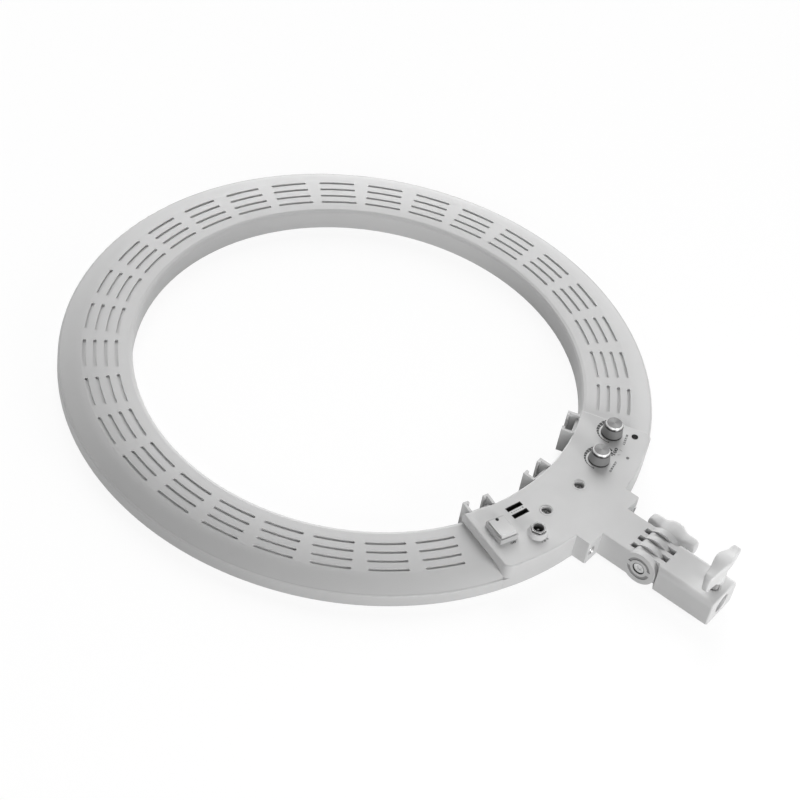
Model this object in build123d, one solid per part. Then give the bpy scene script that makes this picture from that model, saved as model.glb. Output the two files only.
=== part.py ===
from build123d import *
import math
import os

# Ring shell, seen from behind; the front face lies on the floor
ring_outer_r = 240
ring_inner_r = 181.5
ring_height = 18
shell_wall = 2.2
flat_inner_r = ring_inner_r + 3.5
flat_outer_r = ring_outer_r - 18
crease_r = ring_outer_r - 1.5
crease_z = ring_height - 5.5
inner_edge_r = ring_inner_r + 1.2
inner_edge_z = ring_height - 0.6
inner_wall_top_z = ring_height - 2.2
cover_lip_depth = 3
cover_lip_wall = 2

# Outer band and the two front lips
band_wall = 2.4
band_foot_round = 2.5
band_top_round = 1.2
front_lip_height = 1.6
outer_lip_inner_r = ring_outer_r - 4.7
inner_lip_outer_r = ring_inner_r + 6.8

# Clearances
fit_gap = 0.2
seat_gap = 0.15
running_gap = 0.05
slide_gap = 0.3
cut_overrun = 5

# Front diffuser
diffuser_thickness = 2
diffuser_inner_r = inner_lip_outer_r - 2

# Shallow grooves in the back
groove_insets = (20.4, 28.7, 37.2, 45.5)
groove_length = 30.8
groove_width = 2.6
groove_depth = 1.4
ring_divisions = 32
pod_divisions = 5
groove_pitch_deg = 360 / ring_divisions

# Light board
led_board_z = 7
board_thickness = 1.6
led_board_inner_r = ring_inner_r + 8.5
led_board_outer_r = ring_outer_r - 7
led_inner_row_r = led_board_inner_r + 10
led_outer_row_r = led_board_outer_r - 12
led_length = 3.5
led_width = 2.8
led_height = 0.8
leds_per_row = 72
cover_boss_r = 3.2
cover_boss_ring_r = ring_outer_r - 33
cover_boss_first = 0.5
cover_boss_step = 4
screw_shank_r = 1.4
screw_head_r = 2.6
screw_head_height = 1.2
screw_depth = 5

# Control pod
pod_top_z = ring_height + 8
pod_foot_z = 3
pod_wall = 2
pod_end_wall = 2.5
pod_side_angle = 18.9
pod_side_offset = 21
pod_corner_round = 6
pod_edge_round = 1.2
window_inner_r = ring_inner_r + 6.5
window_outer_r = ring_outer_r - 7
left_window_start = -23.3
left_window_end = -10.4
right_window_start = 7.4
right_window_end = 23.3

# Shoulder block and arm
block_half_width = 33.4
block_end_y = -ring_outer_r - 10.3
block_foot_z = pod_foot_z + 0.5
block_root_y = -ring_outer_r + 15
block_round = 1.5
arm_half_width = 17.6
arm_edge_round = 1
insert_x = block_half_width - 4.8
insert_z = 15
insert_r = 4
insert_bore_r = 2.6
insert_length = 10
insert_proud = 0.4
arm_pocket_wall = 3.2
arm_pocket_roof = 6

# Tilt hinge
pivot_y = -ring_outer_r - 46.2
pivot_z = 15.3
knuckle_r = 14.3
finger_pitch = 9.6
moving_finger = 4.2
finger_gap = 0.3
fixed_root_y = pivot_y + 14.2
arm_pocket_end_y = fixed_root_y + 6
moving_root_y = pivot_y - knuckle_r - 1.3
finger_reach = 10.6
finger_round = 5
shoulder_r = knuckle_r + 0.9
shoulder_reach = pivot_z - pod_foot_z + finger_gap
shoulder_slope = 3
bolt_r = 3
bolt_hole_r = bolt_r + 0.08
bolt_head_r = 4.9
bolt_head_recess_r = bolt_head_r + 0.2
bolt_head_height = 3.2
bolt_head_recess = 4.2
bolt_socket_r = 2.6
bolt_socket_depth = 1.8
cheek_groove_inner_r = 7.5
cheek_groove_outer_r = 10
cheek_groove_depth = 0.8
cheek_bridge_half = 1.9

# Spigot clamp
clamp_half_width = 17.4
clamp_foot_z = pivot_z - 11.5
clamp_top_z = pivot_z + 11.7
clamp_end_y = pivot_y - 64.3
clamp_edge_round = 4.5
clamp_foot_round = 1.6
clamp_end_round = 1.6
spigot_bore_r = 8.1
spigot_bore_z = pivot_z + 0.1
spigot_bore_depth = 44
spigot_mouth_chamfer = 0.8

# Thumb screw
screw_y = clamp_end_y + 10.5
thumb_shank_r = 4
clamp_insert_r = 5.6
clamp_insert_height = 2.4
pad_r = 3.4
pad_height = 1.6
pad_stem_r = 1.5
pad_stem_height = 1.8
thumb_hub_r = 7
thumb_hub_start = 7
thumb_hub_end = 32
thumb_hub_round = 1.6
thumb_wing_reach = 20.6
thumb_wing_half = 3.4
thumb_tip_low = 9
thumb_tip_high = 27
thumb_wing_round = 2.5
thumb_grip = 14

# Tilt wing knob
washer_r = 7.5
washer_thickness = 1
tilt_hub_r = 8
tilt_hub_end_x = arm_half_width + 21.4
tilt_wing_start_x = arm_half_width + 4.4
tilt_wing_end_x = arm_half_width + 17.6
tilt_wing_hub_x = arm_half_width + 20.4
tilt_wing_reach = 21
tilt_wing_half = 6.6
tilt_wing_waist = 9
tilt_wing_round = 2.5
tilt_insert_r = 4.6
tilt_insert_length = 9

# Rocker switch
rocker_r = ring_outer_r - 32.3
rocker_deg = -20.2
rocker_bezel_length = 21.5
rocker_bezel_width = 16
rocker_bezel_height = 4.3
rocker_rim = 1.1
rocker_body_wall = 1
rocker_end_r = 9.4
rocker_pivot_drop = 1.9
rocker_face_rise = 1
rocker_face_r = 34.4
rocker_tilt = 4.7
rocker_body_depth = 12.8
rocker_bottom_depth = 5
rocker_trunnion_r = 1
rocker_trunnion_length = 0.6
rocker_step_rise = 1.2
rocker_edge_round = 0.8

# Charging sockets
usb_deg = -13.5
usb_inner_r = ring_inner_r + 10.65
usb_outer_r = ring_inner_r + 18.35
usb_slot_length = 14.9
usb_slot_width = 4.2
usb_body_length = 16.6
usb_body_width = 7.2
usb_body_depth = 10.6
usb_floor = 1.6
usb_neck_wall = 0.5
usb_neck_drop = 0.1
usb_tongue_length = 11
usb_tongue_width = 1.5
usb_tongue_depth = 1.4

# Power inlet
jack_r = ring_outer_r - 18.7
jack_deg = -13.9
jack_boss_foot_r = 8.3
jack_boss_top_r = 6.6
jack_boss_height = 4.5
jack_barrel_r = 4.8
jack_bore_r = jack_barrel_r - 0.6
jack_top_rise = 6
jack_body_half = 5.6
jack_body_depth = 9
jack_pin_r = 1
jack_pin_drop = 2.5
jack_bore_depth = 11
jack_nut_flats = 10.8
jack_nut_height = 1.4
jack_nut_bore_r = jack_barrel_r + 0.05

# Rotary controls
dimmer_deg = 20.8
colour_deg = 11.9
knob_ring_r = ring_outer_r - 30.6
knob_foot_r = 8.6
knob_rim_r = 7.45
knob_lift = 0.4
knob_rim_z = pod_top_z + 10
knob_cap_r = 6.1
knob_cap_z = knob_rim_z + 2
knob_cap_stem_r = 4
knob_cap_stem = 2
knob_skirt_r = 6.4
knob_skirt_depth = 4
knob_hub_r = 4.6
shaft_r = 3
shaft_top_z = knob_rim_z - 3
pot_body_r = 7.6
pot_body_height = 7.6
pot_bushing_r = 4
bushing_top_z = pod_top_z + 1.5
shaft_well_r = shaft_r + 0.06
shaft_well_floor = 1.5

# Receiver window and indicator
ir_r = ring_outer_r - 12.4
ir_deg = 21.9
ir_lens_r = 2.6
ir_flange_r = 3.6
ir_flange_height = 1
led_r = ring_outer_r - 11.5
led_deg = 15.6
status_led_r = 1.2
status_led_flange_r = 1.9
lens_proud = 0.25

# Pod screws
pod_screw_insets = (31.5, 30.6)
pod_screw_degs = (-8.1, 2.8)
pod_screw_recess_r = 4.1
pod_screw_column_r = 5.6
pod_screw_recess_z = pod_top_z - 4.8
pod_screw_head_r = 3.4
pod_screw_head_height = 2
pod_screw_boss_r = 4.2
pod_screw_boss_z = 9.6
pod_screw_tip_z = 11

# Circuit boards under the pod
pod_board_z = led_board_z + board_thickness + 2.6
pod_board_margin_deg = 0.5
pod_board_inner_r = window_inner_r + 1
pod_board_outer_r = window_outer_r - 1
post_r = 2.4
power_posts = ((13.5, -21.2), (30.4, -12.6), (47, -20.6))
dimmer_posts = ((44, 20.8), (44, 11.9), (15, 10.6))
header_length = 6
header_width = 2.4
header_r = ring_outer_r - 14
header_degs = (-18, 19)

# Accessory shoes on the inner wall
shoe_degs = (-20.2, 0, 20.2)
shoe_width = 23
shoe_front_r = ring_inner_r - 10.3
shoe_back_r = ring_inner_r - 0.1
shoe_wall = 2.2
shoe_lip = 2.2
shoe_mouth = 13.2
shoe_floor = 2
shoe_back_drop = 3

# Everything is moved so that the middle of the overall depth is the origin
overall_shift = (-clamp_end_y - ring_outer_r) / 2


def polar(radius, degrees):
    """A point of the pod, measured from the line that runs through the arm."""
    turn = math.radians(degrees)
    return (radius * math.sin(turn), -radius * math.cos(turn))


def at(radius, degrees, z):
    """A place of the pod whose local Y points at the ring's centre."""
    x, y = polar(radius, degrees)
    return Location((x, y, z), (0, 0, degrees))


def disc(radius, low, high):
    """An upright cylinder between two heights."""
    return Pos(0, 0, low) * Cylinder(radius, high - low, align=(Align.CENTER, Align.CENTER, Align.MIN))


def annulus(inner, outer, low, high):
    """A flat ring between two heights."""
    over = disc(outer, low, high)
    return over - disc(inner, low - cut_overrun, high + cut_overrun)


def block(x0, x1, y0, y1, z0, z1):
    """A box from corner to corner."""
    box = Box(x1 - x0, y1 - y0, z1 - z0, align=(Align.MIN, Align.MIN, Align.MIN))
    return Pos(x0, y0, z0) * box


def rod(radius, x0, x1, y, z):
    """A cylinder along X."""
    bar = Cylinder(radius, x1 - x0, align=(Align.CENTER, Align.CENTER, Align.MIN))
    return Pos(x0, y, z) * Rot(0, 90, 0) * bar


def fan(start_deg, end_deg, low, high):
    """A wedge from the ring's axis between two directions of the pod."""
    far = 2 * ring_outer_r
    corners = [(0, 0), polar(far, start_deg), polar(far, end_deg)]
    face = make_face(Polyline(*corners, close=True))
    return Pos(0, 0, low) * extrude(face, high - low)


def pod_wedge(offset, low, high):
    """The tapered outline of the pod, with its sides at a distance from the ring's axis."""
    turn = math.radians(pod_side_angle)
    far = 2 * ring_outer_r
    near_x = offset / math.cos(turn)
    far_x = (offset + far * math.sin(turn)) / math.cos(turn)
    corners = [(near_x, 0), (far_x, -far), (-far_x, -far), (-near_x, 0)]
    face = make_face(Polyline(*corners, close=True))
    return Pos(0, 0, low) * extrude(face, high - low)


# Heights of the dome
dome_width = crease_r - flat_outer_r
dome_drop = ring_height - crease_z
dome_arc_r = (dome_width ** 2 + dome_drop ** 2) / (2 * dome_drop)
dome_centre_z = ring_height - dome_arc_r


def dome_point(radius, arc_radius):
    """A point of the outer drop of the dome, or of a surface parallel to it."""
    across = radius - flat_outer_r
    return (radius, dome_centre_z + math.sqrt(arc_radius ** 2 - across ** 2))


def dome_arc(end_r, arc_radius):
    """The outer drop of the dome, from the flat to a given radius."""
    middle_r = (flat_outer_r + end_r) / 2
    start = dome_point(flat_outer_r, arc_radius)
    middle = dome_point(middle_r, arc_radius)
    return ThreePointArc(start, middle, dome_point(end_r, arc_radius))


def spin(edges):
    """A solid of revolution about the ring's axis."""
    return revolve(Plane.XZ * make_face(edges), Axis.Z)


def cover_shell():
    """The dome with its inner wall, its inner front lip and the lip inside the band."""
    under_z = ring_height - shell_wall
    inside_r = ring_inner_r + shell_wall
    lip_outer = ring_outer_r - band_wall - fit_gap
    lip_inner = lip_outer - cover_lip_wall
    lip_foot = crease_z - cover_lip_depth
    under_arc = dome_arc(lip_inner, dome_arc_r - shell_wall)
    edges = [
        Polyline(
            (ring_inner_r, 0),
            (ring_inner_r, inner_wall_top_z),
            (inner_edge_r, inner_edge_z),
            (flat_inner_r, ring_height),
            (flat_outer_r, ring_height),
        ),
        dome_arc(crease_r, dome_arc_r),
        Polyline(
            (crease_r, crease_z),
            (lip_outer, crease_z),
            (lip_outer, lip_foot),
            (lip_inner, lip_foot),
            under_arc @ 1,
        ),
        under_arc,
        Polyline(
            (flat_outer_r, under_z),
            (flat_inner_r, under_z),
            (inside_r, inner_wall_top_z),
            (inside_r, front_lip_height),
            (inner_lip_outer_r, front_lip_height),
            (inner_lip_outer_r, 0),
            (ring_inner_r, 0),
        ),
    ]
    return spin(edges)


def dome_room():
    """The room of the dome under the pod, with the seat clearance on top."""
    edge_r = ring_outer_r - band_wall - seat_gap
    arc = dome_arc(edge_r, dome_arc_r + seat_gap)
    edges = [
        Polyline(
            arc @ 1,
            (edge_r, -cut_overrun),
            (ring_inner_r - cut_overrun, -cut_overrun),
            (ring_inner_r - cut_overrun, inner_wall_top_z + seat_gap),
            (ring_inner_r, inner_wall_top_z + seat_gap),
            (inner_edge_r, inner_edge_z + seat_gap),
            (flat_inner_r, ring_height + seat_gap),
            (flat_outer_r, ring_height + seat_gap),
        ),
        arc,
    ]
    return spin(edges)


def rear_grooves():
    """All the grooves of the dome that the pod leaves free."""
    grooves = []
    half_pod = pod_divisions // 2
    for step in range(half_pod + 1, ring_divisions - half_pod):
        middle = step * groove_pitch_deg - 90
        for inset in groove_insets:
            radius = ring_outer_r - inset
            span = math.degrees((groove_length - groove_width) / radius)
            line = CenterArc((0, 0), radius, middle - span / 2, span)
            face = SlotArc(line, groove_width)
            cutter = extrude(face, ring_height)
            grooves.append(Pos(0, 0, ring_height - groove_depth) * cutter)
    return grooves


def cover_boss_places():
    """Directions of the light board's screws, between the groups of grooves."""
    count = ring_divisions // cover_boss_step
    return [(cover_boss_first + cover_boss_step * k) * groove_pitch_deg for k in range(count)]


def rear_cover():
    """The dome with its grooves, the windows under the pod and the screw bosses."""
    body = cover_shell()
    under_pod = pod_wedge(pod_side_offset + seat_gap, front_lip_height, ring_height + cut_overrun)
    rim = annulus(ring_outer_r - band_wall - fit_gap, ring_outer_r, 0, ring_height)
    body -= under_pod & rim
    belt = annulus(window_inner_r, window_outer_r, ring_height / 2, ring_height + cut_overrun)
    body -= fan(left_window_start, left_window_end, 0, 2 * ring_height) & belt
    body -= fan(right_window_start, right_window_end, 0, 2 * ring_height) & belt
    body -= rear_grooves()
    board_top = led_board_z + board_thickness
    roof = ring_height - shell_wall / 2
    for turn in cover_boss_places():
        boss = disc(cover_boss_r, board_top, roof)
        boss -= disc(screw_shank_r + running_gap, 0, board_top + screw_depth)
        body += at(cover_boss_ring_r, turn, 0) * boss
    for inset, turn in zip(pod_screw_insets, pod_screw_degs):
        place = at(ring_outer_r - inset, turn, 0)
        body += place * disc(pod_screw_boss_r, pod_screw_boss_z, roof)
        hole_z = pod_screw_boss_z + shell_wall / 2
        body -= place * disc(screw_shank_r + running_gap, hole_z, 2 * ring_height)
    return body


def front_bezel():
    """The vertical outer band with the outer front lip, lowered where the pod's wall stands."""
    wall_r = ring_outer_r - band_wall
    top_r = ring_outer_r - band_top_round
    top_z = crease_z - band_top_round
    foot_r = ring_outer_r - band_foot_round
    slant = math.sqrt(0.5)
    foot_arc = ThreePointArc(
        (foot_r, 0),
        (foot_r + band_foot_round * slant, band_foot_round * (1 - slant)),
        (ring_outer_r, band_foot_round),
    )
    top_arc = ThreePointArc(
        (ring_outer_r, top_z),
        (top_r + band_top_round * slant, top_z + band_top_round * slant),
        (top_r, crease_z),
    )
    edges = [
        foot_arc,
        Line((ring_outer_r, band_foot_round), (ring_outer_r, top_z)),
        top_arc,
        Polyline(
            (top_r, crease_z),
            (wall_r, crease_z),
            (wall_r, front_lip_height),
            (outer_lip_inner_r, front_lip_height),
            (outer_lip_inner_r, 0),
            (foot_r, 0),
        ),
    ]
    return spin(edges) - pod_wedge(pod_side_offset + seat_gap, pod_foot_z, ring_height)


def diffuser():
    """The translucent ring that lies on the two front lips."""
    outer = ring_outer_r - band_wall - slide_gap
    return annulus(diffuser_inner_r, outer, front_lip_height, front_lip_height + diffuser_thickness)


def led_board():
    """The light board with its screw holes."""
    body = annulus(led_board_inner_r, led_board_outer_r, led_board_z, led_board_z + board_thickness)
    for turn in cover_boss_places():
        body -= at(cover_boss_ring_r, turn, 0) * disc(screw_shank_r + fit_gap, 0, ring_height)
    return body


def led_chips(first):
    """Every second light chip of both rows, under the board."""
    chips = []
    step = 360 / leds_per_row
    half_length = led_length / 2
    half_width = led_width / 2
    low = led_board_z - led_height
    chip = block(-half_length, half_length, -half_width, half_width, low, led_board_z)
    for k in range(first, leds_per_row, 2):
        chips.append(at(led_inner_row_r, k * step, 0) * chip)
        chips.append(at(led_outer_row_r, (k + 1) * step, 0) * chip)
    return chips


def pan_screw(head_z, tip_z):
    """A pan-head screw whose head is below the surface it holds and whose tip points up."""
    body = disc(screw_shank_r, head_z, tip_z)
    body += disc(screw_head_r, head_z - screw_head_height, head_z)
    return body


def board_screws():
    """The screws of the light board."""
    tip_z = led_board_z + board_thickness + screw_depth - screw_head_height
    return [at(cover_boss_ring_r, turn, 0) * pan_screw(led_board_z, tip_z) for turn in cover_boss_places()]


def pod_envelope():
    """The solid pod with rounded corners and top edges, and a square-ended foot in the band."""
    sector = annulus(ring_inner_r, ring_outer_r, pod_foot_z, pod_top_z)
    upper = sector & pod_wedge(pod_side_offset, crease_z, pod_top_z)
    corners = upper.edges().filter_by(Axis.Z)
    outer = corners.sort_by(lambda edge: edge.center().Y)
    upper = fillet(outer[:2], pod_corner_round)
    rims = upper.faces().sort_by(Axis.Z)[-1].edges()
    upper = fillet(rims, pod_edge_round)
    foot = sector & pod_wedge(pod_side_offset, pod_foot_z, crease_z)
    return upper + foot


def shoulder_and_arm():
    """The shoulder block, the arm and the round end of the hinge, with eased edges."""
    half = block_half_width
    shoulder = block(-half, half, block_end_y, block_root_y, block_foot_z, pod_top_z)
    ends = shoulder.edges().filter_by(Axis.Z).sort_by(Axis.Y)[:2]
    shoulder = fillet(ends, block_round)
    arm = block(-arm_half_width, arm_half_width, pivot_y, block_root_y, pod_foot_z, pod_top_z)
    knuckle = rod(knuckle_r, -arm_half_width, arm_half_width, pivot_y, pivot_z)
    body = arm + knuckle
    long_edges = body.edges().filter_by(Axis.Y)
    body = fillet(long_edges, arm_edge_round)
    return shoulder + body


def moving_centres():
    """Middles of the three moving fingers."""
    return (-finger_pitch, 0, finger_pitch)


def tilt_slots():
    """The gaps between the four fixed fingers."""
    half = moving_finger / 2 + finger_gap
    low = pivot_z - 2 * knuckle_r
    high = pivot_z + 2 * knuckle_r
    far = pivot_y - 2 * knuckle_r
    return [block(x - half, x + half, far, fixed_root_y, low, high) for x in moving_centres()]


def cheek_groove():
    """The broken ring groove in the cheek that carries the bolt's head."""
    face_x = -arm_half_width
    depth_x = face_x + cheek_groove_depth
    out_x = face_x - cut_overrun
    groove = rod(cheek_groove_outer_r, out_x, depth_x, pivot_y, pivot_z)
    groove -= rod(cheek_groove_inner_r, 2 * out_x, 0, pivot_y, pivot_z)
    bridge = block(
        2 * out_x,
        0,
        pivot_y - 2 * knuckle_r,
        pivot_y + 2 * knuckle_r,
        pivot_z - cheek_bridge_half,
        pivot_z + cheek_bridge_half,
    )
    return groove - bridge


def pod_holes():
    """Everything that passes through the pod's top."""
    top = pod_top_z + 2 * cut_overrun
    under = pod_top_z - pod_wall - cut_overrun
    half_length = rocker_bezel_length / 2 - rocker_body_wall
    half_width = rocker_bezel_width / 2 - rocker_body_wall
    well = block(-half_width, half_width, -half_length, half_length, under, top)
    cutters = [at(rocker_r, rocker_deg, 0) * well]
    for radius in (usb_inner_r, usb_outer_r):
        slot = block(
            -usb_slot_length / 2, usb_slot_length / 2, -usb_slot_width / 2, usb_slot_width / 2, under, top
        )
        cutters.append(at(radius, usb_deg, 0) * slot)
    cutters.append(at(jack_r, jack_deg, 0) * disc(jack_barrel_r + running_gap, under, top))
    for turn in (dimmer_deg, colour_deg):
        cutters.append(at(knob_ring_r, turn, 0) * disc(pot_bushing_r + running_gap, under, top))
    cutters.append(at(ir_r, ir_deg, 0) * disc(ir_lens_r + running_gap, under, top))
    cutters.append(at(led_r, led_deg, 0) * disc(status_led_r + running_gap, under, top))
    return cutters


def control_housing():
    """The pod's shell with the shoulder block, the arm and the fixed hinge fingers."""
    body = pod_envelope() + shoulder_and_arm()
    roof = pod_top_z - pod_wall
    inside = annulus(ring_inner_r + pod_wall, ring_outer_r - band_wall, 0, roof)
    body -= inside & pod_wedge(pod_side_offset - pod_end_wall, 0, roof)
    body -= dome_room()
    body -= tilt_slots()
    pocket_half = arm_half_width - arm_pocket_wall
    pocket_y = -ring_outer_r - arm_pocket_wall
    pocket = block(-pocket_half, pocket_half, arm_pocket_end_y, pocket_y, 0, pod_top_z - arm_pocket_roof)
    body -= pocket
    boss = at(jack_r, jack_deg, 0) * (
        Pos(0, 0, roof + pod_wall / 2)
        * Cone(
            jack_boss_foot_r,
            jack_boss_top_r,
            jack_boss_height + pod_wall / 2,
            align=(Align.CENTER, Align.CENTER, Align.MIN),
        )
    )
    body += boss
    for inset, turn in zip(pod_screw_insets, pod_screw_degs):
        place = at(ring_outer_r - inset, turn, 0)
        body += place * disc(pod_screw_column_r, ring_height, roof + pod_wall / 2)
        body -= place * disc(pod_screw_recess_r, pod_screw_recess_z, pod_top_z + cut_overrun)
        body -= place * disc(screw_shank_r + fit_gap, ring_height - cut_overrun, pod_top_z)
    board_top = pod_board_z + board_thickness
    for inset, turn in power_posts + dimmer_posts:
        post = disc(post_r, board_top, roof + pod_wall / 2)
        post -= disc(screw_shank_r + running_gap, 0, board_top + screw_depth)
        body += at(ring_outer_r - inset, turn, 0) * post
    body -= pod_holes()
    for x in (-insert_x, insert_x):
        body -= block_hole(x, insert_r, insert_length)
        body -= block_hole(x, insert_bore_r + fit_gap, insert_length + insert_proud)
    half = arm_half_width
    body -= rod(bolt_hole_r, -half - cut_overrun, half + cut_overrun, pivot_y, pivot_z)
    body -= rod(bolt_head_recess_r, -half - cut_overrun, -half + bolt_head_recess, pivot_y, pivot_z)
    body -= cheek_groove()
    return body


def block_hole(x, radius, depth):
    """A cylinder from beyond the block's end face to a depth in it."""
    bar = Cylinder(radius, depth + cut_overrun, align=(Align.CENTER, Align.CENTER, Align.MIN))
    return Pos(x, block_end_y + depth, insert_z) * Rot(90, 0, 0) * bar


def thread_insert(x):
    """A metal threaded insert in the shoulder block."""
    tube = disc(insert_r, 0, insert_length + insert_proud)
    tube -= Cylinder(insert_bore_r, 2 * insert_length + cut_overrun)
    rim = tube.edges().filter_by(GeomType.CIRCLE).sort_by(Axis.Z)[-2:]
    tube = chamfer(rim, insert_proud / 2)
    return Pos(x, block_end_y + insert_length, insert_z) * Rot(90, 0, 0) * tube


def tilt_bolt():
    """The hinge's bolt, with its socket head sunk in the near cheek."""
    head_x = -arm_half_width + bolt_head_recess
    end_x = arm_half_width + washer_thickness + tilt_insert_length
    body = rod(bolt_r, head_x, end_x, pivot_y, pivot_z)
    body += rod(bolt_head_r, head_x - bolt_head_height, head_x, pivot_y, pivot_z)
    socket = extrude(RegularPolygon(bolt_socket_r, 6), bolt_socket_depth)
    body -= Pos(head_x - bolt_head_height, pivot_y, pivot_z) * Rot(0, 90, 0) * socket
    return body


def tilt_washer():
    """The washer between the far cheek and the wing knob."""
    body = rod(washer_r, arm_half_width, arm_half_width + washer_thickness, pivot_y, pivot_z)
    return body - rod(bolt_r + running_gap, 0, tilt_hub_end_x, pivot_y, pivot_z)


def tilt_knob():
    """The wing knob's plastic body."""
    start_x = arm_half_width + washer_thickness
    hub = rod(tilt_hub_r, start_x, tilt_hub_end_x, pivot_y, pivot_z)
    end_edge = hub.edges().sort_by(Axis.X)[-1]
    hub = fillet(end_edge, tilt_wing_round)
    corners = [
        (tilt_wing_start_x, -tilt_wing_reach),
        (tilt_wing_end_x, -tilt_wing_reach),
        (tilt_wing_end_x - tilt_wing_round, -tilt_wing_waist),
        (tilt_wing_hub_x, 0),
        (tilt_wing_end_x - tilt_wing_round, tilt_wing_waist),
        (tilt_wing_end_x, tilt_wing_reach),
        (tilt_wing_start_x, tilt_wing_reach),
        (start_x + washer_thickness, 0),
    ]
    outline = make_face(Polyline(*corners, close=True))
    tips = outline.vertices().filter_by(lambda v: abs(v.Y) > tilt_wing_waist + tilt_wing_round)
    outline = fillet(tips, tilt_wing_round)
    wing = extrude(outline, tilt_wing_half, both=True)
    body = hub + Pos(0, pivot_y, pivot_z) * wing
    bore_end = start_x + tilt_insert_length
    return body - rod(tilt_insert_r, 0, bore_end, pivot_y, pivot_z)


def tilt_knob_insert():
    """The wing knob's threaded metal insert."""
    start_x = arm_half_width + washer_thickness
    body = rod(tilt_insert_r, start_x, start_x + tilt_insert_length, pivot_y, pivot_z)
    return body - rod(bolt_r + running_gap, 0, tilt_hub_end_x, pivot_y, pivot_z)


def clamp_finger(x):
    """One moving finger with its rounded end."""
    half = moving_finger / 2
    end_y = pivot_y + finger_reach
    body = block(x - half, x + half, moving_root_y, end_y, clamp_foot_z, clamp_top_z)
    tips = body.edges().filter_by(Axis.X).sort_by(Axis.Y)[-2:]
    return fillet(tips, finger_round)


def clamp_side_cut(side):
    """Room for a fixed cheek beside the moving fingers."""
    inner = finger_pitch + moving_finger / 2
    outer = clamp_half_width + cut_overrun
    low = clamp_foot_z - cut_overrun
    high = clamp_top_z + cut_overrun
    slope_x = clamp_half_width - inner
    start_y = pivot_y - shoulder_reach
    corners = [
        (inner, 0),
        (inner, start_y),
        (clamp_half_width, start_y - shoulder_slope),
        (clamp_half_width + slope_x, start_y - 2 * shoulder_slope),
        (clamp_half_width + slope_x, 0),
    ]
    face = make_face(Polyline(*corners, close=True))
    cut = Pos(0, 0, low) * extrude(face, high - low)
    cut += rod(shoulder_r, inner, outer, pivot_y, pivot_z)
    return cut if side > 0 else mirror(cut, Plane.YZ)


def clamp_body():
    """The spigot socket with the moving half of the hinge."""
    body = block(-clamp_half_width, clamp_half_width, clamp_end_y, pivot_y, clamp_foot_z, clamp_top_z)
    long_edges = body.edges().filter_by(Axis.Y).sort_by(Axis.Z)
    body = fillet(long_edges[2:], clamp_edge_round)
    feet = body.edges().filter_by(Axis.Y).sort_by(Axis.Z)[:2]
    body = fillet(feet, clamp_foot_round)
    end_edges = body.faces().sort_by(Axis.Y)[0].edges()
    body = fillet(end_edges, clamp_end_round)
    body -= [clamp_side_cut(1), clamp_side_cut(-1)]
    inner = moving_finger / 2
    outer = finger_pitch - moving_finger / 2
    low = clamp_foot_z - cut_overrun
    high = clamp_top_z + cut_overrun
    body -= block(inner, outer, moving_root_y, 0, low, high)
    body -= block(-outer, -inner, moving_root_y, 0, low, high)
    body += [clamp_finger(x) for x in moving_centres()]
    body -= rod(bolt_hole_r, -clamp_half_width, clamp_half_width, pivot_y, pivot_z)
    bore = Cylinder(spigot_bore_r, spigot_bore_depth, align=(Align.CENTER, Align.CENTER, Align.MIN))
    mouth = Cone(
        spigot_bore_r,
        spigot_bore_r + spigot_mouth_chamfer,
        spigot_mouth_chamfer,
        align=(Align.CENTER, Align.CENTER, Align.MAX),
    )
    tool = Rot(90, 0, 0)
    body -= Pos(0, clamp_end_y + spigot_bore_depth, spigot_bore_z) * tool * bore
    body -= Pos(0, clamp_end_y, spigot_bore_z) * tool * mouth
    screw = Pos(0, screw_y, 0)
    body -= screw * disc(thumb_shank_r + running_gap, spigot_bore_z, clamp_top_z + cut_overrun)
    body -= screw * disc(clamp_insert_r, clamp_top_z - clamp_insert_height, clamp_top_z + cut_overrun)
    return body


def clamp_insert():
    """The threaded metal insert of the thumb screw, flush with the clamp's top."""
    low = clamp_top_z - clamp_insert_height
    return Pos(0, screw_y, 0) * annulus(thumb_shank_r + running_gap, clamp_insert_r, low, clamp_top_z)


# The pad's foot lies just inside the wall above the spigot bore
pad_foot_z = spigot_bore_z + spigot_bore_r + seat_gap


def thumb_screw():
    """The steel shank between the pad and the knob."""
    low = pad_foot_z + pad_height + fit_gap
    high = clamp_top_z + thumb_hub_start + thumb_grip
    body = disc(thumb_shank_r, low, high)
    body -= disc(pad_stem_r + running_gap, 0, pad_foot_z + pad_height + pad_stem_height + fit_gap)
    return Pos(0, screw_y, 0) * body


def pressure_pad():
    """The pad that the screw turns on and pushes against the spigot."""
    body = disc(pad_r, pad_foot_z, pad_foot_z + pad_height)
    body += disc(pad_stem_r, pad_foot_z, pad_foot_z + pad_height + pad_stem_height)
    return Pos(0, screw_y, 0) * body


def thumb_knob():
    """The winged plastic knob of the thumb screw."""
    low = clamp_top_z + thumb_hub_start
    high = clamp_top_z + thumb_hub_end
    hub = disc(thumb_hub_r, low, high)
    hub = fillet(hub.edges().sort_by(Axis.Z)[-1], thumb_hub_round)
    tip_low = clamp_top_z + thumb_tip_low
    tip_high = clamp_top_z + thumb_tip_high
    corners = [
        (-thumb_wing_reach, tip_low),
        (0, low),
        (thumb_wing_reach, tip_low),
        (thumb_wing_reach, tip_high),
        (0, high - thumb_hub_round),
        (-thumb_wing_reach, tip_high),
    ]
    outline = make_face(Polyline(*corners, close=True))
    tips = outline.vertices().filter_by(lambda v: abs(v.X) > thumb_hub_r)
    outline = Plane.XZ * fillet(tips, thumb_wing_round)
    wing = extrude(outline, thumb_wing_half, both=True)
    body = hub + wing
    body -= disc(thumb_shank_r, 0, low + thumb_grip)
    return Pos(0, screw_y, 0) * body


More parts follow.
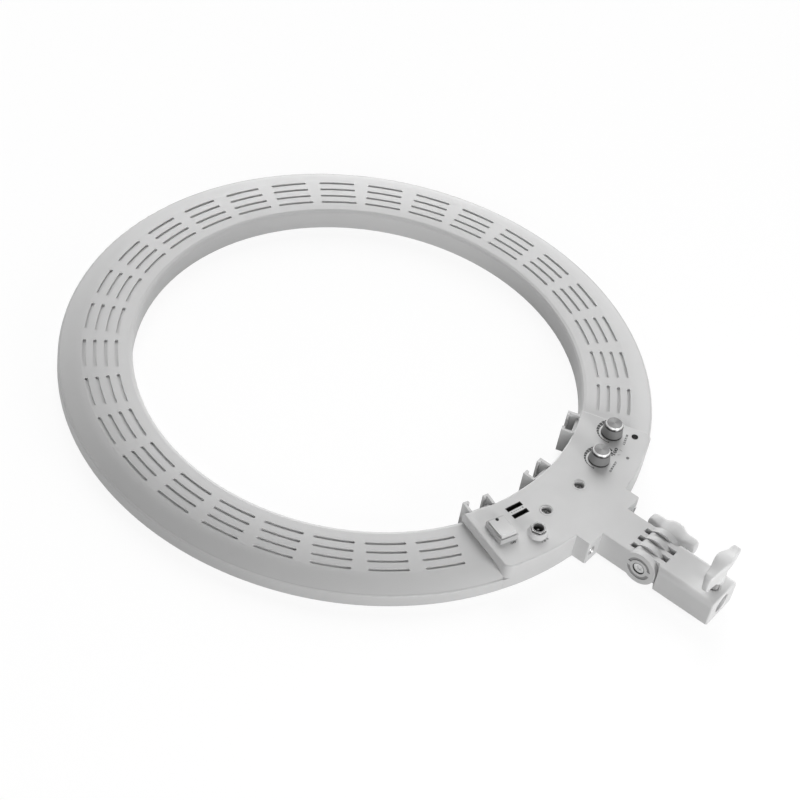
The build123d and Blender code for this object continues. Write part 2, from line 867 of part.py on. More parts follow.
# Height of the rocker's trunnions
rocker_pivot_z = pod_top_z + rocker_bezel_height - rocker_pivot_drop
rocker_cavity_half = rocker_end_r + fit_gap
rocker_paddle_half = rocker_bezel_width / 2 - rocker_rim - slide_gap


def tangent_rod(radius, half_length, z):
    """A cylinder across the switch, along local X."""
    return rod(radius, -half_length, half_length, 0, z)


def rocker_bezel():
    """The switch's frame and its body below the pod's top."""
    half_length = rocker_bezel_length / 2
    half_width = rocker_bezel_width / 2
    rim_z = pod_top_z + rocker_bezel_height
    frame = block(-half_width, half_width, -half_length, half_length, pod_top_z, rim_z)
    frame = fillet(frame.edges().filter_by(Axis.Z), rocker_edge_round)
    frame = fillet(frame.faces().sort_by(Axis.Z)[-1].edges(), rocker_edge_round / 2)
    body_width = half_width - rocker_body_wall - seat_gap
    body_length = half_length - rocker_body_wall - seat_gap
    low = pod_top_z - rocker_body_depth
    frame += block(-body_width, body_width, -body_length, body_length, low, pod_top_z + rocker_rim)
    cavity_half = half_width - rocker_rim
    room = tangent_rod(rocker_cavity_half, cavity_half, rocker_pivot_z)
    high = rim_z + cut_overrun
    end = rocker_cavity_half
    room += block(-cavity_half, cavity_half, -end, end, rocker_pivot_z, high)
    floor_z = pod_top_z - rocker_bottom_depth
    room &= block(-half_width, half_width, -half_length, half_length, floor_z, high)
    lower_half = body_width - rocker_body_wall
    keep = block(-half_width, half_width, -half_length, half_length, low, pod_top_z)
    keep -= block(-lower_half, lower_half, -half_length, half_length, low, pod_top_z)
    frame -= room - keep
    pin_end = cavity_half + rocker_trunnion_length - slide_gap + running_gap
    frame -= tangent_rod(rocker_trunnion_r + running_gap, pin_end, rocker_pivot_z)
    return at(rocker_r, rocker_deg, 0) * frame


def rocker_paddle():
    """The rocker with its hollow face, pressed at the end nearer the ring's centre."""
    paddle = tangent_rod(rocker_end_r, rocker_paddle_half, rocker_pivot_z)
    lower_half = rocker_bezel_width / 2 - 2 * rocker_body_wall - seat_gap - slide_gap
    side = block(
        lower_half,
        rocker_bezel_width,
        -rocker_end_r,
        rocker_end_r,
        rocker_pivot_z - 2 * rocker_end_r,
        pod_top_z + rocker_step_rise,
    )
    paddle -= [side, mirror(side, Plane.YZ)]
    face_z = pod_top_z + rocker_bezel_height + rocker_face_rise
    paddle -= tangent_rod(rocker_face_r, rocker_bezel_width, face_z + rocker_face_r)
    foot = pod_top_z - rocker_bottom_depth + slide_gap + rocker_rim
    under = block(
        -rocker_bezel_width,
        rocker_bezel_width,
        -rocker_bezel_length,
        rocker_bezel_length,
        rocker_pivot_z - 2 * rocker_end_r,
        foot,
    )
    paddle -= under
    pin_half = rocker_paddle_half + rocker_trunnion_length
    paddle += tangent_rod(rocker_trunnion_r, pin_half, rocker_pivot_z)
    tilted = Pos(0, 0, rocker_pivot_z) * Rot(-rocker_tilt, 0, 0) * Pos(0, 0, -rocker_pivot_z)
    return at(rocker_r, rocker_deg, 0) * tilted * paddle


def usb_socket(radius):
    """A charging socket's shell with its neck in the pod's top and its contact tongue."""
    roof = pod_top_z - pod_wall
    low = roof - usb_body_depth
    body = block(
        -usb_body_length / 2, usb_body_length / 2, -usb_body_width / 2, usb_body_width / 2, low, roof
    )
    neck_length = usb_slot_length / 2 - running_gap
    neck_width = usb_slot_width / 2 - running_gap
    neck_top = pod_top_z - usb_neck_drop
    body += block(-neck_length, neck_length, -neck_width, neck_width, roof, neck_top)
    length = neck_length - usb_neck_wall
    width = neck_width - usb_neck_wall
    floor_z = low + usb_floor
    body -= block(-length, length, -width, width, floor_z, neck_top + cut_overrun)
    tongue = usb_tongue_length / 2
    tongue_top = roof - usb_tongue_depth
    body += block(-tongue, tongue, -width, usb_tongue_width - width, floor_z, tongue_top)
    return at(radius, usb_deg, 0) * body


def dc_jack():
    """The power inlet: a threaded barrel on a square body, with its centre pin."""
    roof = pod_top_z - pod_wall
    top = pod_top_z + jack_top_rise
    body = disc(jack_barrel_r, roof, top)
    body += block(
        -jack_body_half, jack_body_half, -jack_body_half, jack_body_half, roof - jack_body_depth, roof
    )
    body -= disc(jack_bore_r, top - jack_bore_depth, top + cut_overrun)
    body += disc(jack_pin_r, top - jack_bore_depth, top - jack_pin_drop)
    return at(jack_r, jack_deg, 0) * body


def dc_jack_nut():
    """The hex nut on the inlet's barrel."""
    low = pod_top_z + jack_boss_height
    nut = extrude(RegularPolygon(jack_nut_flats / 2, 6, major_radius=False), jack_nut_height)
    nut -= disc(jack_nut_bore_r, -cut_overrun, jack_nut_height + cut_overrun)
    return at(jack_r, jack_deg, low) * nut


def pot(turn):
    """A potentiometer's body and bushing, on the board under the pod."""
    board_top = pod_board_z + board_thickness
    body = disc(pot_body_r, board_top, board_top + pot_body_height)
    body += disc(pot_bushing_r, board_top, bushing_top_z)
    body -= disc(shaft_well_r, board_top + shaft_well_floor, bushing_top_z + cut_overrun)
    return at(knob_ring_r, turn, 0) * body


def pot_shaft(turn):
    """The turning shaft of a potentiometer."""
    foot_z = pod_board_z + board_thickness + shaft_well_floor + seat_gap
    return at(knob_ring_r, turn, 0) * disc(shaft_r, foot_z, shaft_top_z)


def knob(turn):
    """A rotary knob's plastic body, hollow below, with a pocket for its cap."""
    low = pod_top_z + knob_lift
    height = knob_rim_z - low
    body = Pos(0, 0, low) * Cone(
        knob_foot_r, knob_rim_r, height, align=(Align.CENTER, Align.CENTER, Align.MIN)
    )
    body -= annulus(knob_hub_r, knob_skirt_r, 0, low + knob_skirt_depth)
    body -= disc(pot_bushing_r + slide_gap, 0, bushing_top_z + slide_gap)
    body -= disc(shaft_r, 0, shaft_top_z)
    body -= disc(knob_cap_stem_r, knob_rim_z - knob_cap_stem, knob_rim_z + cut_overrun)
    return at(knob_ring_r, turn, 0) * body


def knob_cap(turn):
    """The bevelled metal cap on a rotary knob."""
    cap = Pos(0, 0, knob_rim_z) * Cone(
        knob_rim_r, knob_cap_r, knob_cap_z - knob_rim_z, align=(Align.CENTER, Align.CENTER, Align.MIN)
    )
    cap += disc(knob_cap_stem_r, knob_rim_z - knob_cap_stem, knob_rim_z)
    return at(knob_ring_r, turn, 0) * cap


def lens(radius, turn, lens_r, flange_r):
    """A small window with its flange under the pod's top."""
    roof = pod_top_z - pod_wall
    body = disc(lens_r, roof, pod_top_z + lens_proud)
    body += disc(flange_r, roof - ir_flange_height, roof)
    return at(radius, turn, 0) * body


def housing_screws():
    """The two screws sunk in the pod's top."""
    screws = []
    for inset, turn in zip(pod_screw_insets, pod_screw_degs):
        head_top = pod_screw_recess_z + pod_screw_head_height
        body = disc(pod_screw_head_r, pod_screw_recess_z, head_top)
        body = fillet(body.edges().sort_by(Axis.Z)[-1], screw_head_height / 2)
        body += disc(screw_shank_r, pod_screw_tip_z, pod_screw_recess_z)
        screws.append(at(ring_outer_r - inset, turn, 0) * body)
    return screws


def pod_board(start_deg, end_deg, posts):
    """A circuit board on the posts under the pod, inside a window of the dome."""
    body = annulus(pod_board_inner_r, pod_board_outer_r, pod_board_z, pod_board_z + board_thickness)
    body &= fan(start_deg + pod_board_margin_deg, end_deg - pod_board_margin_deg, 0, ring_height)
    for inset, turn in posts:
        body -= at(ring_outer_r - inset, turn, 0) * disc(screw_shank_r + fit_gap, 0, ring_height)
    return body


def control_board_screws():
    """The screws of both boards under the pod, with flat heads."""
    tip_z = pod_board_z + board_thickness + screw_depth - screw_head_height
    screw = pan_screw(pod_board_z, tip_z)
    return [at(ring_outer_r - inset, turn, 0) * screw for inset, turn in power_posts + dimmer_posts]


def board_headers():
    """The two plug blocks between the light board and the boards above it."""
    low = led_board_z + board_thickness
    header = block(
        -header_length / 2, header_length / 2, -header_width / 2, header_width / 2, low, pod_board_z
    )
    return [at(header_r, turn, 0) * header for turn in header_degs]


def accessory_shoe(turn):
    """A C-channel on the ring's inner wall, open towards the back, with a floor at the front."""
    half = shoe_width / 2
    depth = shoe_back_r - shoe_front_r
    body = block(-half, half, -shoe_wall / 2, depth, pod_foot_z, pod_top_z)
    room = half - shoe_wall
    floor_z = pod_foot_z + shoe_floor
    body -= block(-room, room, shoe_wall, depth - shoe_lip, floor_z, pod_top_z + cut_overrun)
    back_top = pod_top_z - shoe_back_drop
    body -= block(-room, room, -shoe_wall, depth - shoe_lip, back_top, pod_top_z + cut_overrun)
    mouth = shoe_mouth / 2
    body -= block(-mouth, mouth, depth / 2, depth + cut_overrun, floor_z, pod_top_z + cut_overrun)
    body = at(shoe_back_r, turn, 0) * body
    return body & disc(shoe_back_r, 0, 2 * pod_top_z)


def save(name, solids):
    """One file for one named part, moved to the shared origin."""
    group = solids if isinstance(solids, list) else [solids]
    shift = Pos(0, overall_shift, 0)
    pieces = []
    for item in group:
        pieces += [shift * solid for solid in item.solids()]
    shape = pieces[0] if len(pieces) == 1 else Compound(children=pieces)
    export_step(shape, f"parts/{name}.step")


def main():
    os.makedirs("parts", exist_ok=True)
    save("rear_cover", rear_cover())
    save("front_bezel", front_bezel())
    save("diffuser", diffuser())
    save("led_board", led_board())
    save("warm_leds", led_chips(0))
    save("cool_leds", led_chips(1))
    save("board_screws", board_screws())
    save("control_housing", control_housing())
    save("rocker_bezel", rocker_bezel())
    save("rocker_paddle", rocker_paddle())
    save("usb_socket_inner", usb_socket(usb_inner_r))
    save("usb_socket_outer", usb_socket(usb_outer_r))
    save("dc_jack", dc_jack())
    save("dc_jack_nut", dc_jack_nut())
    save("dimmer_pot", pot(dimmer_deg))
    save("dimmer_shaft", pot_shaft(dimmer_deg))
    save("dimmer_knob", knob(dimmer_deg))
    save("dimmer_cap", knob_cap(dimmer_deg))
    save("colour_pot", pot(colour_deg))
    save("colour_shaft", pot_shaft(colour_deg))
    save("colour_knob", knob(colour_deg))
    save("colour_cap", knob_cap(colour_deg))
    save("ir_window", lens(ir_r, ir_deg, ir_lens_r, ir_flange_r))
    save("status_led", lens(led_r, led_deg, status_led_r, status_led_flange_r))
    save("housing_screws", housing_screws())
    save("power_board", pod_board(left_window_start, left_window_end, power_posts))
    save("dimmer_board", pod_board(right_window_start, right_window_end, dimmer_posts))
    save("control_board_screws", control_board_screws())
    save("board_headers", board_headers())
    for name, turn in zip(("left", "centre", "right"), shoe_degs):
        save(f"accessory_shoe_{name}", accessory_shoe(turn))
    save("thread_insert_left", thread_insert(-insert_x))
    save("thread_insert_right", thread_insert(insert_x))
    save("tilt_bolt", tilt_bolt())
    save("tilt_washer", tilt_washer())
    save("tilt_knob", tilt_knob())
    save("tilt_knob_insert", tilt_knob_insert())
    save("clamp_body", clamp_body())
    save("clamp_insert", clamp_insert())
    save("thumb_screw", thumb_screw())
    save("pressure_pad", pressure_pad())
    save("thumb_knob", thumb_knob())


main()
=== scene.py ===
import bpy
import math
from mathutils import Matrix, Vector


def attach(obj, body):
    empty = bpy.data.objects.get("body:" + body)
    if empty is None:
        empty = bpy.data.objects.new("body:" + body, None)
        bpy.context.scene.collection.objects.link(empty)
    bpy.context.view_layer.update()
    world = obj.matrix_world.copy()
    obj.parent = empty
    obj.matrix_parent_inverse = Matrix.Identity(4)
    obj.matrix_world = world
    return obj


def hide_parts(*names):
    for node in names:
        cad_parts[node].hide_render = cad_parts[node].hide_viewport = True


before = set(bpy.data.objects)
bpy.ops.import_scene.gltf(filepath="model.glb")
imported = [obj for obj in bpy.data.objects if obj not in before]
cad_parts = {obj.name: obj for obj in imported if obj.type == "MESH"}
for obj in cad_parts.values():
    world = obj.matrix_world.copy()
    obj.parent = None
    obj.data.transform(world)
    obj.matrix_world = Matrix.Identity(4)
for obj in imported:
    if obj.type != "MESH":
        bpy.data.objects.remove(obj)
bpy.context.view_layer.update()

# One mm in the frame's metres. Sizes and places below are in mm.
MM = 0.001
# Where the ring's axis stands in the frame
RING_Y = 55.25
# Heights above the ground, and places along Y from the ring's axis
POD_TOP = 26
PIVOT_Y = -286.2
PIVOT_Z = 15.3
SCREW_Y = -340
INSERT_X = 28.6
INSERT_Y = -250.7
INSERT_Z = 15
# Places on the pod: distance from the ring's axis, and degrees from its middle line
KNOB_R = 209.4
DIMMER_DEG = 20.8
COLOUR_DEG = 11.9
POD_SCREWS = ((208.5, -8.1), (209.4, 2.8))
INLET_R = 221.3
INLET_DEG = -13.9
SOCKET_RADII = (192.15, 199.85)
SOCKET_DEG = -13.5
ROCKER_R = 207.7
ROCKER_DEG = -20.2
# How thick the print is, and how far it is lifted off the pod
PRINT_DEPTH = 0.05
PRINT_LIFT = 0.02
# How light the shell's plastic is
SHELL_TONE = 0.585


# Working by hand
def alone(piece):
    """Only this piece is selected, and it is the active one."""
    bpy.ops.object.select_all(action="DESELECT")
    piece.select_set(True)
    bpy.context.view_layer.objects.active = piece


def added():
    """The primitive that was just added, alone and with its place applied."""
    piece = bpy.context.object
    alone(piece)
    bpy.ops.object.transform_apply(location=True, rotation=True, scale=True)
    return piece


def pick(piece, kind, wanted):
    """Edit mode with only the faces, edges or corners selected that are wanted."""
    bpy.ops.object.mode_set(mode="EDIT")
    bpy.ops.mesh.select_mode(type=kind)
    bpy.ops.mesh.select_all(action="DESELECT")
    bpy.ops.object.mode_set(mode="OBJECT")
    mesh = piece.data
    if kind == "FACE":
        for face in mesh.polygons:
            face.select = wanted(face.center / MM, face.normal)
    elif kind == "EDGE":
        for edge in mesh.edges:
            a, b = (mesh.vertices[i].co / MM for i in edge.vertices)
            edge.select = wanted((a + b) / 2, b - a)
    else:
        for corner in mesh.vertices:
            corner.select = wanted(corner.co / MM)
    bpy.ops.object.mode_set(mode="EDIT")


def true_up():
    """Doubles merged and normals turned outward on the mesh in edit mode, then back to object mode."""
    bpy.ops.mesh.select_all(action="SELECT")
    bpy.ops.mesh.remove_doubles(threshold=0.000001)
    bpy.ops.mesh.normals_make_consistent(inside=False)
    bpy.ops.object.mode_set(mode="OBJECT")


def cut_with(piece, tool):
    """The tool's shape taken out of the piece; the tool is thrown away."""
    alone(piece)
    cut = piece.modifiers.new("cut", "BOOLEAN")
    cut.operation = "DIFFERENCE"
    cut.solver = "EXACT"
    cut.object = tool
    bpy.ops.object.modifier_apply(modifier=cut.name)
    bpy.data.objects.remove(tool)


def ease(piece, width, segments=2, angle=35):
    """Edges rounded by a bevel."""
    alone(piece)
    bevel = piece.modifiers.new("ease", "BEVEL")
    bevel.width = width * MM
    bevel.segments = segments
    bevel.limit_method = "ANGLE"
    bevel.angle_limit = math.radians(angle)
    bpy.ops.object.modifier_apply(modifier=bevel.name)


def joined(pieces):
    """Several meshes made one."""
    bpy.ops.object.select_all(action="DESELECT")
    for piece in pieces:
        piece.select_set(True)
    bpy.context.view_layer.objects.active = pieces[0]
    bpy.ops.object.join()
    return pieces[0]


def twin(piece):
    """A copy with its own mesh."""
    copy = piece.copy()
    copy.data = piece.data.copy()
    bpy.context.scene.collection.objects.link(copy)
    return copy


def pod_spot(piece, radius, degrees, height):
    """The piece moved from the ring's axis to its spot on the pod, its Y towards the ring's centre."""
    turn = math.radians(degrees)
    piece.location = Vector((radius * math.sin(turn), RING_Y - radius * math.cos(turn), height)) * MM
    piece.rotation_euler = (0, 0, turn)
    alone(piece)
    bpy.ops.object.transform_apply(location=True, rotation=True, scale=True)
    return piece


def moved(piece, x, y, z, turn=(0, 0, 0)):
    """The piece turned and set down at a place given from the ring's axis."""
    piece.location = Vector((x, RING_Y + y, z)) * MM
    piece.rotation_euler = turn
    alone(piece)
    bpy.ops.object.transform_apply(location=True, rotation=True, scale=True)
    return piece


def done(piece, name, body, finish, angle=40):
    """Name, smooth shading, finish and the body that carries the piece."""
    piece.name = name
    piece.data.name = name
    alone(piece)
    bpy.ops.object.shade_smooth_by_angle(angle=math.radians(angle))
    piece.data.materials.clear()
    piece.data.materials.append(finish)
    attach(piece, body)
    return piece


def built_up(stations, turn=(0, 0, 0), square=0, sides=32):
    """A closed body drawn out through round or rounded square sections: their middles and half sizes."""
    if square:
        bpy.ops.mesh.primitive_plane_add(size=2, rotation=turn)
    else:
        bpy.ops.mesh.primitive_circle_add(vertices=sides, radius=1, fill_type="NGON", rotation=turn)
    piece = added()
    bpy.ops.object.mode_set(mode="EDIT")
    bpy.ops.mesh.select_all(action="SELECT")
    if square:
        bpy.ops.mesh.bevel(affect="VERTICES", offset=square, segments=4)
        bpy.ops.mesh.select_all(action="SELECT")
    middle, half = (Vector(values) * MM for values in stations[0])
    size = [value if value else 1 for value in half]
    bpy.ops.transform.resize(value=size, center_override=(0, 0, 0))
    bpy.ops.transform.translate(value=middle)
    for values in stations[1:]:
        next_middle, next_half = (Vector(value) * MM for value in values)
        bpy.ops.mesh.extrude_region_move(TRANSFORM_OT_translate={"value": next_middle - middle})
        ratio = [b / a if a else 1 for a, b in zip(half, next_half)]
        bpy.ops.transform.resize(value=ratio, center_override=next_middle)
        middle, half = next_middle, next_half
    true_up()
    return piece


def between(before, first, second, after, t):
    """The value a share t of the way from the first to the second, on a smooth curve through all four."""
    slope = second - before
    bend = 2 * before - 5 * first + 4 * second - after
    twist = 3 * first - before - 3 * second + after
    return first + (slope * t + bend * t**2 + twist * t**3) / 2


def filled_in(rows, steps=4):
    """More rows between the given ones, on smooth curves through them."""
    full = []
    last = len(rows) - 1
    for i in range(last):
        around = (rows[max(i - 1, 0)], rows[i], rows[i + 1], rows[min(i + 2, last)])
        for k in range(steps):
            full.append(tuple(between(*values, k / steps) for values in zip(*around)))
    return full + [rows[-1]]


def mirrored(half_rows):
    """Rows from one tip to the middle, with the other half added."""
    return half_rows + tuple((-row[0], *row[1:]) for row in reversed(half_rows[:-1]))


def turned(profile, sides=48):
    """A round upright body from rings, each with its radius and height in mm."""
    return built_up([((0, 0, height), (radius, radius, 0)) for radius, height in profile], sides=sides)


def swept(inner, outer, low, high, start=0, sweep=360, steps=64):
    """A flat band of rectangular section, spun anticlockwise round the upright axis."""
    bpy.ops.mesh.primitive_plane_add(size=1, rotation=(math.pi / 2, 0, 0))
    piece = added()
    bpy.ops.object.mode_set(mode="EDIT")
    bpy.ops.mesh.select_all(action="SELECT")
    bpy.ops.transform.resize(value=((outer - inner) * MM, 1, (high - low) * MM), center_override=(0, 0, 0))
    bpy.ops.transform.translate(value=((outer + inner) / 2 * MM, 0, (high + low) / 2 * MM))
    bpy.ops.object.mode_set(mode="OBJECT")
    piece.rotation_euler = (0, 0, math.radians(start))
    bpy.ops.object.transform_apply(location=False, rotation=True, scale=False)
    bpy.ops.object.mode_set(mode="EDIT")
    bpy.ops.mesh.select_all(action="SELECT")
    bpy.ops.mesh.spin(steps=steps, angle=math.radians(sweep), center=(0, 0, 0), axis=(0, 0, -1))
    true_up()
    return piece


def thread(root, crest, pitch, low, turns, steps=40):
    """A helical ridge about the upright axis, from its root radius to its crest."""
    upright = (math.pi / 2, 0, 0)
    bpy.ops.mesh.primitive_circle_add(vertices=4, radius=1, fill_type="NOTHING", rotation=upright)
    piece = added()
    pick(piece, "VERT", lambda place: place.x * MM < -0.5)
    bpy.ops.mesh.delete(type="VERT")
    bpy.ops.mesh.select_all(action="SELECT")
    bpy.ops.transform.resize(value=((crest - root) * MM, 1, pitch / 2 * MM), center_override=(0, 0, 0))
    bpy.ops.transform.translate(value=(root * MM, 0, (low + pitch / 2) * MM))
    bpy.ops.object.mode_set(mode="OBJECT")
    screw = piece.modifiers.new("thread", "SCREW")
    screw.axis = "Z"
    screw.angle = 2 * math.pi
    screw.screw_offset = pitch * MM
    screw.iterations = turns
    screw.steps = steps
    screw.render_steps = steps
    screw.use_merge_vertices = True
    alone(piece)
    bpy.ops.object.modifier_apply(modifier=screw.name)
    bpy.ops.object.mode_set(mode="EDIT")
    true_up()
    return piece


# Finishes
def new_finish(name):
    """An empty finish with its shader, and the object's own coordinates."""
    material = bpy.data.materials.new(name)
    material.use_nodes = True
    tree = material.node_tree
    tree.nodes.clear()
    out = tree.nodes.new("ShaderNodeOutputMaterial")
    shader = tree.nodes.new("ShaderNodeBsdfPrincipled")
    tree.links.new(shader.outputs["BSDF"], out.inputs["Surface"])
    place = tree.nodes.new("ShaderNodeTexCoord").outputs["Object"]
    return material, tree, shader, place


def maths(tree, operation, first, second=None, clamp=False):
    """A number worked out from one or two others."""
    node = tree.nodes.new("ShaderNodeMath")
    node.operation = operation
    node.use_clamp = clamp
    for socket, value in zip(node.inputs, (first, second)):
        if value is None:
            continue
        if isinstance(value, (int, float)):
            socket.default_value = value
        else:
            tree.links.new(value, socket)
    return node.outputs[0]


def vectors(tree, operation, first, second=None, scale=None, output=0):
    """A vector worked out from one or two others; output 1 is a plain number, such as a length."""
    node = tree.nodes.new("ShaderNodeVectorMath")
    node.operation = operation
    for socket, value in zip(node.inputs, (first, second)):
        if value is None:
            continue
        if isinstance(value, tuple):
            socket.default_value = value
        else:
            tree.links.new(value, socket)
    if scale is not None:
        tree.links.new(scale, node.inputs["Scale"])
    return node.outputs[output]


def noise(tree, place, scale, detail=2, roughness=0.5):
    """Soft clouds, so many to the metre."""
    node = tree.nodes.new("ShaderNodeTexNoise")
    node.inputs["Scale"].default_value = scale
    node.inputs["Detail"].default_value = detail
    node.inputs["Roughness"].default_value = roughness
    tree.links.new(place, node.inputs["Vector"])
    return node.outputs["Fac"]


def spread(tree, value, from_low, from_high, to_low, to_high):
    """A value carried from one range to another, and held at its ends."""
    node = tree.nodes.new("ShaderNodeMapRange")
    for name, number in (
        ("From Min", from_low),
        ("From Max", from_high),
        ("To Min", to_low),
        ("To Max", to_high),
    ):
        node.inputs[name].default_value = number
    tree.links.new(value, node.inputs["Value"])
    return node.outputs["Result"]


def mottled(tree, place, scale, detail, low=0, high=1):
    """Soft clouds that run from low to high."""
    return spread(tree, noise(tree, place, scale, detail), 0.3, 0.7, low, high)


def axes(tree, place):
    """X, Y and Z of a place or direction."""
    split = tree.nodes.new("ShaderNodeSeparateXYZ")
    tree.links.new(place, split.inputs[0])
    return split.outputs


def grey(tone):
    """A neutral colour of this lightness."""
    return (tone, tone, tone)


def blend_colours(tree, share, first, second):
    """From the first colour to the second by a share."""
    node = tree.nodes.new("ShaderNodeMix")
    node.data_type = "RGBA"
    tree.links.new(share, node.inputs["Factor"])
    sockets = [s for s in node.inputs if s.type == "RGBA"]
    for socket, value in zip(sockets, (first, second)):
        if isinstance(value, tuple):
            socket.default_value = (*value, 1)
        else:
            tree.links.new(value, socket)
    return [s for s in node.outputs if s.type == "RGBA"][0]


def grained(tree, shader, place, scale, depth, normal=None):
    """A fine moulded grain as bump."""
    bump = tree.nodes.new("ShaderNodeBump")
    bump.inputs["Strength"].default_value = 1
    bump.inputs["Distance"].default_value = depth
    tree.links.new(noise(tree, place, scale, 3, 0.6), bump.inputs["Height"])
    if normal is not None:
        tree.links.new(normal, bump.inputs["Normal"])
    tree.links.new(bump.outputs["Normal"], shader.inputs["Normal"])


PLASTIC_GRAIN = 2600
PLASTIC_GRAIN_DEPTH = 0.004 * MM


def moulded(name, tone, rough=(0.42, 0.52), swing=0.03, painted_shade_places=None, painted_shade_tone=0.01):
    """Satin moulded plastic: faint flow clouds, uneven sheen and a fine spark-eroded grain, with painted
    shade where asked.
    """
    material, tree, shader, place = new_finish(name)
    clouds = mottled(tree, place, 28, 4)
    colour = blend_colours(tree, clouds, grey(tone * (1 - swing)), grey(tone * (1 + swing)))
    if painted_shade_places:
        colour = blend_colours(tree, painted_shade_places(tree, place), colour, grey(painted_shade_tone))
    tree.links.new(colour, shader.inputs["Base Color"])
    tree.links.new(mottled(tree, place, 190, 3, *rough), shader.inputs["Roughness"])
    shader.inputs["Specular IOR Level"].default_value = 0.3
    grained(tree, shader, place, PLASTIC_GRAIN, PLASTIC_GRAIN_DEPTH)
    return material


def within(tree, value, low, high, soft):
    """1 between two places in mm, with soft ends."""
    rise = spread(tree, value, (low - soft) * MM, (low + soft) * MM, 0, 1)
    fall = spread(tree, value, (high - soft) * MM, (high + soft) * MM, 1, 0)
    return maths(tree, "MULTIPLY", rise, fall)


def nut_side_shade(tree, place):
    """Painted shade on the side walls of the inlet's nut, below its faced top."""
    faced_top = 31.85
    return maths(tree, "LESS_THAN", axes(tree, place)["Z"], faced_top * MM)


def knob_painted_shade(tree, place):
    """Painted shade in the gaps under a knob's foot and under its cap."""
    height = axes(tree, place)["Z"]
    foot = within(tree, height, 25.5, 27.6, 0.4)
    neck = within(tree, height, 35.2, 36, 0.1)
    return maths(tree, "MAXIMUM", foot, neck)


def cheek_ring_shade(tree, place):
    """Painted shade in the sunk ring round the hinge bolt, where the light hardly reaches."""
    share = 0.6
    off_bolt = vectors(tree, "SUBTRACT", place, (0, (PIVOT_Y + RING_Y) * MM, PIVOT_Z * MM))
    radius = vectors(tree, "LENGTH", vectors(tree, "MULTIPLY", off_bolt, (0, 1, 1)), output=1)
    ring = within(tree, radius, 7.2, 10.3, 0.1)
    depth = within(tree, axes(tree, place)["X"], -17.4, -16, 0.1)
    return maths(tree, "MULTIPLY", maths(tree, "MULTIPLY", ring, depth), share)


def ring_shell():
    """The shell's plastic, its dome shaded as a soft crown, with the faint joint above the outer band."""
    crown_start = 188
    crown_top = 227
    crown_edge = 229
    crown_end = 239
    lean_share = 0.28
    edge_share = 0.4
    joint_r = 238.6
    joint_z = 12.5
    joint_line = 0.2
    joint_soft = 0.5
    joint_share = 0.15
    joint_tone = 0.12
    dome_foot = 12
    flattest_z = 0.8
    steepest_z = 0.6
    cloud_swing = 0.015
    material, tree, shader, place = new_finish("ring_shell_plastic")
    flat = vectors(tree, "SUBTRACT", place, (0, RING_Y * MM, 0))
    flat = vectors(tree, "MULTIPLY", flat, (1, 1, 0))
    radius = vectors(tree, "LENGTH", flat, output=1)
    outward = vectors(tree, "NORMALIZE", flat)
    height = axes(tree, place)["Z"]
    rise = spread(tree, radius, crown_start * MM, crown_top * MM, 0, lean_share)
    fall = spread(tree, radius, crown_edge * MM, crown_end * MM, 1, edge_share)
    geometry = tree.nodes.new("ShaderNodeNewGeometry")
    facing = axes(tree, geometry.outputs["True Normal"])
    upward = spread(tree, facing["Z"], steepest_z, flattest_z, 0, 1)
    lean = maths(tree, "MULTIPLY", maths(tree, "MULTIPLY", rise, fall), upward)
    above = maths(tree, "GREATER_THAN", height, dome_foot * MM)
    lean = maths(tree, "MULTIPLY", lean, above)
    to_world = tree.nodes.new("ShaderNodeVectorTransform")
    to_world.vector_type = "VECTOR"
    to_world.convert_from = "OBJECT"
    to_world.convert_to = "WORLD"
    tree.links.new(vectors(tree, "SCALE", outward, scale=lean), to_world.inputs[0])
    leaning = vectors(tree, "ADD", geometry.outputs["Normal"], to_world.outputs[0])
    crown = vectors(tree, "NORMALIZE", leaning)
    clouds = mottled(tree, place, 22, 4)
    low = grey(SHELL_TONE * (1 - cloud_swing))
    high = grey(SHELL_TONE * (1 + cloud_swing))
    colour = blend_colours(tree, clouds, low, high)
    off_radius = maths(tree, "ABSOLUTE", maths(tree, "SUBTRACT", radius, joint_r * MM))
    off_height = maths(tree, "ABSOLUTE", maths(tree, "SUBTRACT", height, joint_z * MM))
    off_joint = maths(tree, "MAXIMUM", off_radius, off_height)
    joint = spread(tree, off_joint, joint_line * MM, joint_soft * MM, joint_share, 0)
    tree.links.new(blend_colours(tree, joint, colour, grey(joint_tone)), shader.inputs["Base Color"])
    tree.links.new(mottled(tree, place, 160, 3, 0.44, 0.52), shader.inputs["Roughness"])
    shader.inputs["Specular IOR Level"].default_value = 0.3
    grained(tree, shader, place, PLASTIC_GRAIN, PLASTIC_GRAIN_DEPTH, crown)
    return material


def plated(name, tone, rough=(0.16, 0.26), tint=(1, 1, 1), metal=1, painted_shade_places=None):
    """Plated or turned metal with fine uneven polish, with painted shade where asked."""
    scratches = 900
    worn_share = 0.92
    clean_share = 1.06
    painted_shade_tone = 0.05
    material, tree, shader, place = new_finish(name)
    shader.inputs["Metallic"].default_value = metal
    wear = spread(tree, noise(tree, place, scratches, 5, 0.6), 0.35, 0.65, 0, 1)
    low = tuple(tone * worn_share * t for t in tint)
    high = tuple(min(1, tone * clean_share) * t for t in tint)
    colour = blend_colours(tree, wear, low, high)
    if painted_shade_places:
        colour = blend_colours(tree, painted_shade_places(tree, place), colour, grey(painted_shade_tone))
    tree.links.new(colour, shader.inputs["Base Color"])
    tree.links.new(mottled(tree, place, scratches * 2, 4, *rough), shader.inputs["Roughness"])
    grained(tree, shader, place, scratches * 3, 0.002 * MM)
    return material


